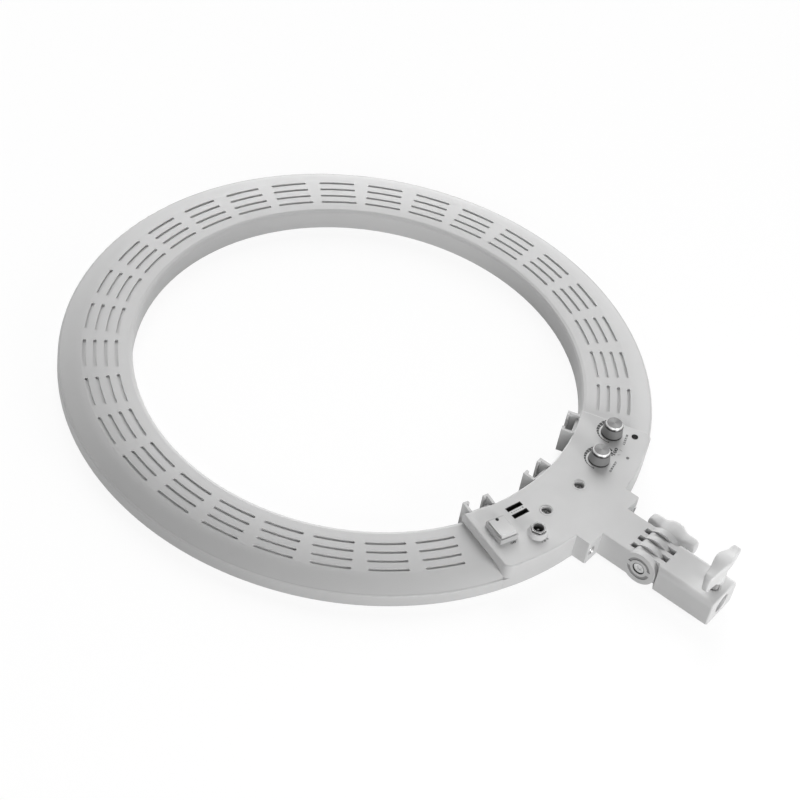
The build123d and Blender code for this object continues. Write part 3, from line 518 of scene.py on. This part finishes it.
def cap_aluminium(name, radius, degrees):
    """A knob cap: finely turned face with painted wedges of sheen, a bright cut bevel and a dark skirt with
    a painted dark reflection on one side.
    """
    face_r = 6.1
    bevel_r = 6.9
    turning_marks = 45000
    groove_depth = 0.003
    face_off_painted_sheen = 0.1
    face_in_painted_sheen = 0.19
    bevel_tone = 0.7
    skirt_tone = 0.17
    shaded_skirt_tone = 0.02
    painted_sheen_way = (0.5, 0.866, 0)
    shaded_way = (-0.985, -0.174, 0)
    material, tree, shader, place = new_finish(name)
    shader.inputs["Metallic"].default_value = 0.25
    turn = math.radians(degrees)
    middle = (radius * math.sin(turn) * MM, (RING_Y - radius * math.cos(turn)) * MM, 0)
    flat = vectors(tree, "MULTIPLY", vectors(tree, "SUBTRACT", place, middle), (1, 1, 0))
    from_middle = vectors(tree, "LENGTH", flat, output=1)
    ray = vectors(tree, "NORMALIZE", flat)
    # Painted sheen: the face is lighter in two opposite wedges, with streaks across them.
    sheen = vectors(tree, "DOT_PRODUCT", ray, painted_sheen_way, output=1)
    wedges = maths(tree, "MULTIPLY", sheen, sheen)
    streaks = spread(tree, noise(tree, ray, 9, 5, 0.7), 0.35, 0.65, -0.3, 0.3)
    wedges = maths(tree, "ADD", wedges, streaks, clamp=True)
    face = blend_colours(tree, wedges, grey(face_off_painted_sheen), grey(face_in_painted_sheen))
    bevel = maths(tree, "GREATER_THAN", from_middle, face_r * MM)
    colour = blend_colours(tree, bevel, face, grey(bevel_tone))
    # Painted dark reflection: the skirt below the bevel is darkest on its side towards -X.
    turned_away = vectors(tree, "DOT_PRODUCT", ray, shaded_way, output=1)
    shade = spread(tree, turned_away, 0.84, 0.87, skirt_tone, shaded_skirt_tone)
    skirt = tree.nodes.new("ShaderNodeCombineColor")
    for channel in ("Red", "Green", "Blue"):
        tree.links.new(shade, skirt.inputs[channel])
    below = maths(tree, "GREATER_THAN", from_middle, bevel_r * MM)
    colour = blend_colours(tree, below, colour, skirt.outputs["Color"])
    tree.links.new(colour, shader.inputs["Base Color"])
    tree.links.new(spread(tree, bevel, 0, 1, 0.5, 0.35), shader.inputs["Roughness"])
    rings = tree.nodes.new("ShaderNodeBump")
    rings.inputs["Strength"].default_value = 1
    rings.inputs["Distance"].default_value = groove_depth * MM
    grooves = maths(tree, "SINE", maths(tree, "MULTIPLY", from_middle, turning_marks))
    tree.links.new(grooves, rings.inputs["Height"])
    tree.links.new(rings.outputs["Normal"], shader.inputs["Normal"])
    return material


def milky_diffuser():
    """Milky light-spreading plastic with a very fine texture."""
    material, tree, shader, place = new_finish("milky_diffuser")
    scatter_depth = 4 * MM
    clouds = mottled(tree, place, 18, 3)
    colour = blend_colours(tree, clouds, (0.82, 0.82, 0.81), (0.87, 0.87, 0.86))
    tree.links.new(colour, shader.inputs["Base Color"])
    shader.inputs["Subsurface Weight"].default_value = 0.25
    shader.inputs["Subsurface Radius"].default_value = (scatter_depth, scatter_depth, scatter_depth)
    shader.inputs["Subsurface Scale"].default_value = 0.5
    tree.links.new(mottled(tree, place, 300, 2, 0.5, 0.62), shader.inputs["Roughness"])
    grained(tree, shader, place, 3200, 0.005 * MM)
    return material


def board_mask(name, mask_colour, dark_colour):
    """Solder mask with the copper runs just showing through."""
    material, tree, shader, place = new_finish(name)
    cells = tree.nodes.new("ShaderNodeTexVoronoi")
    cells.distance = "MANHATTAN"
    cells.feature = "F1"
    cells.inputs["Scale"].default_value = 160
    tree.links.new(place, cells.inputs["Vector"])
    runs = spread(tree, cells.outputs["Distance"], 0.45, 0.5, 0, 0.5)
    tree.links.new(blend_colours(tree, runs, mask_colour, dark_colour), shader.inputs["Base Color"])
    tree.links.new(mottled(tree, place, 250, 2, 0.3, 0.42), shader.inputs["Roughness"])
    return material


def light_chip(name, phosphor):
    """A light chip seen from the front: a phosphor window in a pale case."""
    material, tree, shader, place = new_finish(name)
    grains = mottled(tree, place, 1500, 3)
    paler = tuple(min(1, c * 1.15 + 0.05) for c in phosphor)
    tree.links.new(blend_colours(tree, grains, phosphor, paler), shader.inputs["Base Color"])
    tree.links.new(mottled(tree, place, 900, 2, 0.25, 0.4), shader.inputs["Roughness"])
    return material


def smoky_lens(name, tone):
    """A small dark lens with a polished face."""
    material, tree, shader, place = new_finish(name)
    haze = mottled(tree, place, 1200, 3)
    colour = blend_colours(tree, haze, grey(tone * 0.8), grey(tone * 1.2))
    tree.links.new(colour, shader.inputs["Base Color"])
    tree.links.new(mottled(tree, place, 700, 2, 0.18, 0.3), shader.inputs["Roughness"])
    shader.inputs["Specular IOR Level"].default_value = 0.04
    return material


def print_ink(name, tone):
    """Pad-printed ink, slightly uneven at its edges."""
    material, tree, shader, place = new_finish(name)
    cover = mottled(tree, place, 2200, 3)
    colour = blend_colours(tree, cover, grey(tone * 0.85), grey(tone * 1.15))
    tree.links.new(colour, shader.inputs["Base Color"])
    tree.links.new(mottled(tree, place, 1800, 2, 0.5, 0.65), shader.inputs["Roughness"])
    shader.inputs["Specular IOR Level"].default_value = 0.2
    return material


shell_plastic = ring_shell()
# The pod's plastic carries painted shade in the sunk ring round the hinge bolt.
pod_plastic = moulded("pod_plastic", SHELL_TONE, painted_shade_places=cheek_ring_shade, painted_shade_tone=0.12)
wing_plastic = moulded("wing_knob_plastic", SHELL_TONE * 1.02)
rocker_plastic = moulded("rocker_plastic", SHELL_TONE, rough=(0.5, 0.6))
# Painted shade: the bezel is the shell's plastic made darker to stand in for the shade on its walls.
bezel_painted_shade_plastic = moulded("rocker_bezel_plastic", SHELL_TONE * 0.78, rough=(0.5, 0.6))
socket_plastic = moulded("dark_socket_plastic", 0.2, rough=(0.4, 0.5), swing=0.2)
# The knob's plastic carries painted shade under its foot and under its cap.
knob_plastic = moulded("dark_knob_plastic", 0.2, rough=(0.4, 0.5), painted_shade_places=knob_painted_shade)
black_plastic = moulded("black_socket_plastic", 0.006, rough=(0.45, 0.6), swing=0.3)
zinc_plate = plated("zinc_plate", 0.32, rough=(0.3, 0.42))
satin_plate = plated("satin_plate", 0.8, rough=(0.4, 0.5), metal=0.2)
# The nut's metal carries painted shade on its side walls.
nut_plate = plated("nut_plate", 0.4, rough=(0.45, 0.55), metal=0.2, painted_shade_places=nut_side_shade)
rim_plate = plated("rim_plate", 0.35, rough=(0.4, 0.5), metal=0.2)
screw_zinc = plated("screw_zinc", 0.16, rough=(0.4, 0.55), metal=0.4)
rolled_steel = plated("rolled_steel", 0.2, rough=(0.45, 0.55), metal=0.2)
contact_gold = plated("contact_gold", 0.75, tint=(1, 0.78, 0.4))
turned_brass = plated("turned_brass", 0.7, tint=(1, 0.82, 0.5))
nickel = plated("nickel_plate", 0.5, rough=(0.28, 0.38))
nylon = moulded("black_nylon", 0.05, rough=(0.5, 0.6))
white_mask = board_mask("white_solder_mask", (0.80, 0.80, 0.78), (0.72, 0.72, 0.70))
green_mask = board_mask("green_solder_mask", (0.04, 0.20, 0.09), (0.02, 0.12, 0.05))
dark_ink = print_ink("dark_print", 0.07)
grey_ink = print_ink("grey_print", 0.1)
white_ink = print_ink("white_print", 0.8)
# Black print, also used as painted shade round the hinge bolt's head.
black_ink_and_shade = print_ink("black_print", 0.01)

NODE_FINISHES = {
    "rear_cover": shell_plastic,
    "front_bezel": shell_plastic,
    "diffuser": milky_diffuser(),
    "led_board": white_mask,
    "warm_leds": light_chip("warm_phosphor", (0.86, 0.62, 0.16)),
    "cool_leds": light_chip("cool_phosphor", (0.88, 0.82, 0.36)),
    "board_screws": zinc_plate,
    "control_housing": pod_plastic,
    "rocker_bezel": bezel_painted_shade_plastic,
    "rocker_paddle": rocker_plastic,
    "usb_socket_inner": black_plastic,
    "usb_socket_outer": black_plastic,
    "dc_jack": socket_plastic,
    "dc_jack_nut": nut_plate,
    "dimmer_pot": nickel,
    "dimmer_shaft": nickel,
    "dimmer_knob": knob_plastic,
    "dimmer_cap": cap_aluminium("dimmer_cap_aluminium", KNOB_R, DIMMER_DEG),
    "colour_pot": nickel,
    "colour_shaft": nickel,
    "colour_knob": knob_plastic,
    "colour_cap": cap_aluminium("colour_cap_aluminium", KNOB_R, COLOUR_DEG),
    "ir_window": smoky_lens("receiver_lens", 0.004),
    "status_led": smoky_lens("indicator_lens", 0.2),
    "housing_screws": zinc_plate,
    "power_board": green_mask,
    "dimmer_board": green_mask,
    "control_board_screws": zinc_plate,
    "board_headers": black_plastic,
    "accessory_shoe_left": pod_plastic,
    "accessory_shoe_centre": pod_plastic,
    "accessory_shoe_right": pod_plastic,
    "thread_insert_left": nickel,
    "thread_insert_right": nickel,
    "tilt_bolt": satin_plate,
    "tilt_washer": zinc_plate,
    "tilt_knob": wing_plastic,
    "tilt_knob_insert": turned_brass,
    "clamp_body": pod_plastic,
    "clamp_insert": nickel,
    "thumb_screw": rolled_steel,
    "pressure_pad": nylon,
    "thumb_knob": wing_plastic,
}
for node_name, finish in NODE_FINISHES.items():
    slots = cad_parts[node_name].data.materials
    if len(slots) == 0:
        slots.append(finish)
    for index in range(len(slots)):
        slots[index] = finish


# Wing knobs
def thumb_knob():
    """The thumb screw's knob: a full middle that thins out into two upright wings, thinner at the foot."""
    # Each row: place along X, lowest and highest point, half thickness
    rows = mirrored(
        (
            (-21.2, 45, 52.5, 1.6),
            (-20.6, 41.5, 54.2, 2.5),
            (-19, 37.6, 54.9, 3),
            (-16, 35, 55.2, 3.2),
            (-12, 34.2, 56, 3.5),
            (-8, 34, 57.4, 4.1),
            (-4, 34, 58.6, 4.8),
            (0, 34, 58.9, 5.2),
        )
    )
    middle = 46.5
    stations = []
    for x, low, high, half in filled_in(rows):
        stations.append(((x, 0, (low + high) / 2 - middle), (0, half, (high - low) / 2)))
    wings = built_up(stations, turn=(0, math.pi / 2, 0), square=0.3)
    thinned = wings.modifiers.new("thinned", "SIMPLE_DEFORM")
    thinned.deform_method = "TAPER"
    thinned.deform_axis = "Z"
    thinned.lock_x = True
    thinned.factor = 0.8
    alone(wings)
    bpy.ops.object.modifier_apply(modifier=thinned.name)
    wings.location = (0, 0, middle * MM)
    alone(wings)
    bpy.ops.object.transform_apply(location=True)
    hub = turned(((4.4, 34), (5.2, 34.4), (5.5, 36), (5.5, 46), (5, 52), (4, 56)))
    body = moved(joined([wings, hub]), 0, SCREW_Y, 0)
    done(body, "thumb_knob_wings", "thumb", wing_plastic, 50)
    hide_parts("thumb_knob")


def tilt_knob():
    """The hinge's wing knob: two thick wings with straight outer edges beside a round hub."""
    # Each row: place along Y, inner and outer end along X, half height
    rows = mirrored(
        (
            (-21.4, 28, 32, 2.4),
            (-20.9, 26.6, 34, 4.2),
            (-19.6, 25.6, 35, 5.7),
            (-17, 24.6, 35.3, 6.5),
            (-14, 23.6, 35.2, 6.8),
            (-10, 22.2, 35.3, 6.9),
            (-7.5, 20.8, 36.3, 7.3),
            (-5, 19.6, 38, 7.9),
            (-2.5, 18.8, 38.9, 8.2),
            (0, 18.6, 39, 8.3),
        )
    )
    stations = []
    for y, inner, outer, half in filled_in(rows):
        stations.append((((inner + outer) / 2, y, 0), ((outer - inner) / 2, 0, half)))
    body = built_up(stations, turn=(math.pi / 2, 0, 0), square=0.5)
    moved(body, 0, PIVOT_Y, PIVOT_Z)
    done(body, "tilt_knob_wings", "wing", wing_plastic, 60)
    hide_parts("tilt_knob")


def threaded_shank():
    """The thumb screw's shank with its rolled thread."""
    core = turned(((3.2, 25.5), (3.62, 25.9), (3.62, 47.5), (3.2, 48)), 40)
    ridge = thread(root=3.6, crest=4, pitch=1.25, low=25.9, turns=13)
    body = moved(joined([core, ridge]), 0, SCREW_Y, 0)
    done(body, "threaded_shank", "thumb", rolled_steel)
    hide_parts("thumb_screw")


# Pod details
def pod_screws():
    """Pan-head screws with a cross recess, sunk in the pod's top."""
    profile = ((1.4, 11), (1.4, 21.2), (3.4, 21.21), (3.4, 22.3), (3.1, 22.9), (2.2, 23.2))
    turns = (20, 62)
    recess_top = 23
    recess_floor = 22.2
    recess_size = Vector((3.6, 0.9, 1.6)) * MM
    floor_share = (0.45, 0.7, 1)
    heads = []
    for (radius, degrees), turn in zip(POD_SCREWS, turns):
        head = turned(profile, 40)
        bars = []
        for quarter in (0, 1):
            bpy.ops.mesh.primitive_cube_add(size=1, location=(0, 0, recess_top * MM))
            bar = added()
            bpy.ops.object.mode_set(mode="EDIT")
            bpy.ops.mesh.select_all(action="SELECT")
            bpy.ops.transform.resize(value=recess_size, center_override=(0, 0, recess_top * MM))
            bpy.ops.object.mode_set(mode="OBJECT")
            pick(bar, "FACE", lambda middle, normal: normal.z < -0.5)
            bpy.ops.transform.resize(value=floor_share, center_override=(0, 0, recess_floor * MM))
            bpy.ops.object.mode_set(mode="OBJECT")
            bar.rotation_euler = (0, 0, math.radians(turn + 90 * quarter))
            alone(bar)
            bpy.ops.object.transform_apply(rotation=True)
            bars.append(bar)
        for bar in bars:
            cut_with(head, bar)
        heads.append(pod_spot(head, radius, degrees, 0))
    body = joined(heads)
    done(body, "pod_screws", "ring", screw_zinc, 30)
    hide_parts("housing_screws")


def screw_rims():
    """The thin raised rings round both screw holes."""
    rims = []
    for radius, degrees in POD_SCREWS:
        rim = swept(inner=4.9, outer=5.6, low=-0.2, high=0.28)
        ease(rim, 0.12, 2)
        rims.append(pod_spot(rim, radius, degrees, POD_TOP))
    done(joined(rims), "screw_rims", "ring", pod_plastic)


def jack_metal():
    """The power inlet's bright rim and centre pin."""
    rim = swept(inner=4.18, outer=4.6, low=31.2, high=32.1)
    ease(rim, 0.12, 3)
    pod_spot(rim, INLET_R, INLET_DEG, 0)
    pin = turned(((0.9, 21.2), (1.04, 21.3), (1.04, 29), (0.85, 29.5), (0.4, 29.8)), 24)
    pod_spot(pin, INLET_R, INLET_DEG, 0)
    done(joined([rim, pin]), "jack_rim_and_pin", "ring", rim_plate)


def bolt_shade_ring():
    """A thin black ring round the hinge bolt's sunk head, put in as painted shade on the recess wall."""
    cheek_x = -17.55
    ring = swept(inner=4.6, outer=5.09, low=0, high=0.95)
    moved(ring, cheek_x, PIVOT_Y, PIVOT_Z, (0, math.pi / 2, 0))
    done(ring, "bolt_recess_shade_ring", "ring", black_ink_and_shade)


def usb_contacts():
    """Four plated contacts on the tongue of each charging socket."""
    size = Vector((1.1, 0.12, 5.6)) * MM
    columns = (-3.6, -1.2, 1.2, 3.6)
    tongue_face = -0.02
    middle_z = 19.6
    bpy.ops.mesh.primitive_cube_add(size=1)
    strip = added()
    bpy.ops.object.mode_set(mode="EDIT")
    bpy.ops.mesh.select_all(action="SELECT")
    bpy.ops.transform.resize(value=size, center_override=(0, 0, 0))
    bpy.ops.object.mode_set(mode="OBJECT")
    ease(strip, 0.05, 2)
    strips = []
    for radius in SOCKET_RADII:
        for column in columns:
            copy = twin(strip)
            copy.location = Vector((column, tongue_face, 0)) * MM
            alone(copy)
            bpy.ops.object.transform_apply(location=True)
            strips.append(pod_spot(copy, radius, SOCKET_DEG, middle_z))
    bpy.data.objects.remove(strip)
    done(joined(strips), "usb_contacts", "ring", contact_gold)


def rocker_dot():
    """The black dot on the pressed end of the rocker."""
    dot_y = 7.78
    dot_z = 31.5
    slope = math.radians(7.7)
    dot = turned(((1.2, -0.2), (1.4, -0.15), (1.4, 0.04), (1.3, 0.09)), 32)
    dot.location = Vector((0, dot_y, dot_z)) * MM
    dot.rotation_euler = (slope, 0, 0)
    alone(dot)
    bpy.ops.object.transform_apply(location=True, rotation=True)
    pod_spot(dot, ROCKER_R, ROCKER_DEG, 0)
    done(dot, "rocker_dot", "rocker", black_ink_and_shade)


def insert_threads():
    """The screw threads inside both inserts of the shoulder block."""
    for side, name in ((-1, "left"), (1, "right")):
        ridge = thread(root=2.6, crest=2.25, pitch=1.27, low=0.3, turns=7)
        moved(ridge, side * INSERT_X, INSERT_Y, INSERT_Z, (-math.pi / 2, 0, 0))
        done(ridge, f"insert_thread_{name}", "ring", nickel)


# Printing on the pod
def knob_scale(degrees, name):
    """A dark scale in steps that grows round the knob, and the thin white line inside it."""
    count = 14
    first_deg = 178
    sweep = 198
    gap = 2
    ink = 0.04
    inner = 10.3
    narrow = 10.7
    growth = 6
    growth_power = 1.8
    pitch = sweep / count
    steps = [swept(9.9, 11, 0, ink, start=first_deg - 1, sweep=5, steps=3)]
    for k in range(1, count + 1):
        outer = narrow + growth * (k / count) ** growth_power
        start = first_deg - k * pitch + gap / 2
        steps.append(swept(inner, outer, 0, ink, start=start, sweep=pitch - gap, steps=6))
    steps.append(swept(12.7, 14.6, 0, ink, start=-29, sweep=8, steps=3))
    steps.append(swept(12, 13, 0, ink, start=-37, sweep=7, steps=3))
    dark = pod_spot(joined(steps), KNOB_R, degrees, POD_TOP)
    done(dark, f"{name}_scale", "ring", dark_ink)
    line = swept(inner=9, outer=10, low=0, high=PRINT_DEPTH, start=-25, sweep=203, steps=72)
    white = pod_spot(line, KNOB_R, degrees, POD_TOP)
    done(white, f"{name}_scale_line", "ring", white_ink)


def label(name, words, length, height, radius, degrees, finish=grey_ink):
    """One printed line along the pod."""
    bpy.ops.object.text_add()
    text = bpy.context.object
    text.data.body = words
    text.data.align_x = "CENTER"
    text.data.align_y = "CENTER"
    text.data.extrude = 0.01
    text.data.offset = 0.04
    alone(text)
    bpy.ops.object.convert(target="MESH")
    piece = bpy.context.object
    bpy.context.view_layer.update()
    width, tall, thick = piece.dimensions
    piece.scale = (length * MM / width, height * MM / tall, PRINT_DEPTH * MM / thick)
    bpy.ops.object.transform_apply(scale=True)
    pod_spot(piece, radius, degrees, POD_TOP + PRINT_LIFT)
    done(piece, name, "ring", finish, 30)


def indicator_strokes():
    """Two printed strokes that lead from the middle label to the indicator."""
    size = Vector((0.35, 2.4, PRINT_DEPTH)) * MM
    strokes = []
    for across, turn in ((-2.6, 30), (2.8, -20)):
        bpy.ops.mesh.primitive_cube_add(size=1)
        stroke = added()
        bpy.ops.object.mode_set(mode="EDIT")
        bpy.ops.mesh.select_all(action="SELECT")
        bpy.ops.transform.resize(value=size, center_override=(0, 0, 0))
        bpy.ops.object.mode_set(mode="OBJECT")
        ease(stroke, 0.1, 2)
        stroke.location = (across * MM, 0, 0)
        stroke.rotation_euler = (0, 0, math.radians(turn))
        alone(stroke)
        bpy.ops.object.transform_apply(location=True, rotation=True)
        strokes.append(stroke)
    both = pod_spot(joined(strokes), 221.2, 16.2, POD_TOP + PRINT_LIFT)
    done(both, "indicator_strokes", "ring", grey_ink)


thumb_knob()
tilt_knob()
threaded_shank()
pod_screws()
screw_rims()
jack_metal()
bolt_shade_ring()
usb_contacts()
rocker_dot()
insert_threads()
knob_scale(DIMMER_DEG, "dimmer")
knob_scale(COLOUR_DEG, "colour")
# Each print: its name, its marks, length and height, and its place on the pod
label("dimmer_numbers", "0 25 50 75 100", 12, 1.8, 221.5, 20.3)
label("colour_numbers", "32 38 44 50 56", 13, 1.8, 221.9, 11.8)
label("indicator_number", "100", 8.4, 2.6, 217.6, 15.9, dark_ink)
label("rocker_mark", "OFF", 5, 1.8, 220.6, -19.6)
label("inlet_polarity", "- o +", 7, 1.8, 230.1, -13.8)
label("socket_numbers", "1 - - - - 2", 12, 1.2, 195.9, -13.5)
indicator_strokes()


# Studio
def seen_or_mirrored(tree):
    """1 for what the camera sees, straight or in gloss or through glass, and 0 for what only gives light."""
    path = tree.nodes.new("ShaderNodeLightPath")
    seen = maths(tree, "MAXIMUM", path.outputs["Is Camera Ray"], path.outputs["Is Glossy Ray"])
    return maths(tree, "MAXIMUM", seen, path.outputs["Is Transmission Ray"])


def studio_floor():
    """A plain pale floor that shows as white and keeps the object's shadow."""
    bpy.ops.mesh.primitive_plane_add(size=40)
    floor = bpy.context.object
    floor.name = "studio_floor"
    material = bpy.data.materials.new("studio_floor_paint")
    material.use_nodes = True
    tree = material.node_tree
    tree.nodes.clear()
    out = tree.nodes.new("ShaderNodeOutputMaterial")
    seen = seen_or_mirrored(tree)
    paint = tree.nodes.new("ShaderNodeBsdfDiffuse")
    paint.inputs["Color"].default_value = (*grey(0.4), 1)
    glow = tree.nodes.new("ShaderNodeEmission")
    glow.inputs["Strength"].default_value = 0.9
    shade = tree.nodes.new("ShaderNodeBsdfDiffuse")
    shade.inputs["Color"].default_value = (*grey(0.12), 1)
    both = tree.nodes.new("ShaderNodeAddShader")
    tree.links.new(glow.outputs[0], both.inputs[0])
    tree.links.new(shade.outputs[0], both.inputs[1])
    mix = tree.nodes.new("ShaderNodeMixShader")
    tree.links.new(seen, mix.inputs[0])
    tree.links.new(paint.outputs[0], mix.inputs[1])
    tree.links.new(both.outputs[0], mix.inputs[2])
    tree.links.new(mix.outputs[0], out.inputs["Surface"])
    floor.data.materials.append(material)


def sun(name, azimuth, elevation, strength, softness):
    """A large soft light, given by the direction it comes from."""
    around = math.radians(azimuth)
    up = math.radians(elevation)
    towards = Vector((math.cos(around) * math.cos(up), math.sin(around) * math.cos(up), math.sin(up)))
    lamp = bpy.data.lights.new(name, "SUN")
    lamp.energy = strength
    lamp.angle = math.radians(softness)
    holder = bpy.data.objects.new(name, lamp)
    holder.rotation_mode = "QUATERNION"
    holder.rotation_quaternion = towards.to_track_quat("Z", "Y")
    bpy.context.scene.collection.objects.link(holder)


def near_panel():
    """A small soft panel close to the arm, so that its near side is lit as bright as its top."""
    aimed_at = Vector((0, -0.22, 0.02))
    lamp = bpy.data.lights.new("near_panel", "AREA")
    lamp.shape = "DISK"
    lamp.size = 0.3
    lamp.energy = 3.1
    holder = bpy.data.objects.new("near_panel", lamp)
    holder.location = (-0.1, -0.85, 0.25)
    holder.rotation_mode = "QUATERNION"
    holder.rotation_quaternion = (holder.location - aimed_at).to_track_quat("Z", "Y")
    bpy.context.scene.collection.objects.link(holder)


def studio_world():
    """White where it is seen or mirrored, and a low fill otherwise."""
    world = bpy.data.worlds.new("studio_white")
    bpy.context.scene.world = world
    world.use_nodes = True
    tree = world.node_tree
    tree.nodes.clear()
    out = tree.nodes.new("ShaderNodeOutputWorld")
    background = tree.nodes.new("ShaderNodeBackground")
    seen = seen_or_mirrored(tree)
    tree.links.new(spread(tree, seen, 0, 1, 0, 1), background.inputs["Strength"])
    tree.links.new(background.outputs[0], out.inputs["Surface"])


def camera():
    """The photograph's viewpoint, as it was solved from the ring's outlines."""
    place = (-0.99157, -0.58079, 1.14256)
    across = Vector((0.61956363, -0.77281303, 0.13748064))
    up = Vector((0.49254835, 0.5191353, 0.69849457))
    back = Vector((-0.61117676, -0.36504597, 0.70228513))
    lens = bpy.data.cameras.new("camera")
    lens.lens = 91.19
    lens.sensor_width = 36
    lens.clip_start = 0.05
    lens.clip_end = 100
    holder = bpy.data.objects.new("camera", lens)
    turn = Matrix((across, up, back)).transposed().to_4x4()
    holder.matrix_world = Matrix.Translation(place) @ turn
    bpy.context.scene.collection.objects.link(holder)
    bpy.context.scene.camera = holder


studio_floor()
studio_world()
# Each sun: its name, azimuth, elevation, strength and softness
sun("far_key", 40, 38, 1.9, 40)
sun("far_low", 40, 12, 1.2, 40)
sun("far_side_low", 80, 12, 0.6, 40)
sun("right_low", 0, 12, 0.9, 40)
sun("near_right_low", 320, 12, 0.7, 40)
sun("left_low", 200, 12, 1.7, 40)
near_panel()
camera()
bpy.context.scene.view_settings.view_transform = "Standard"
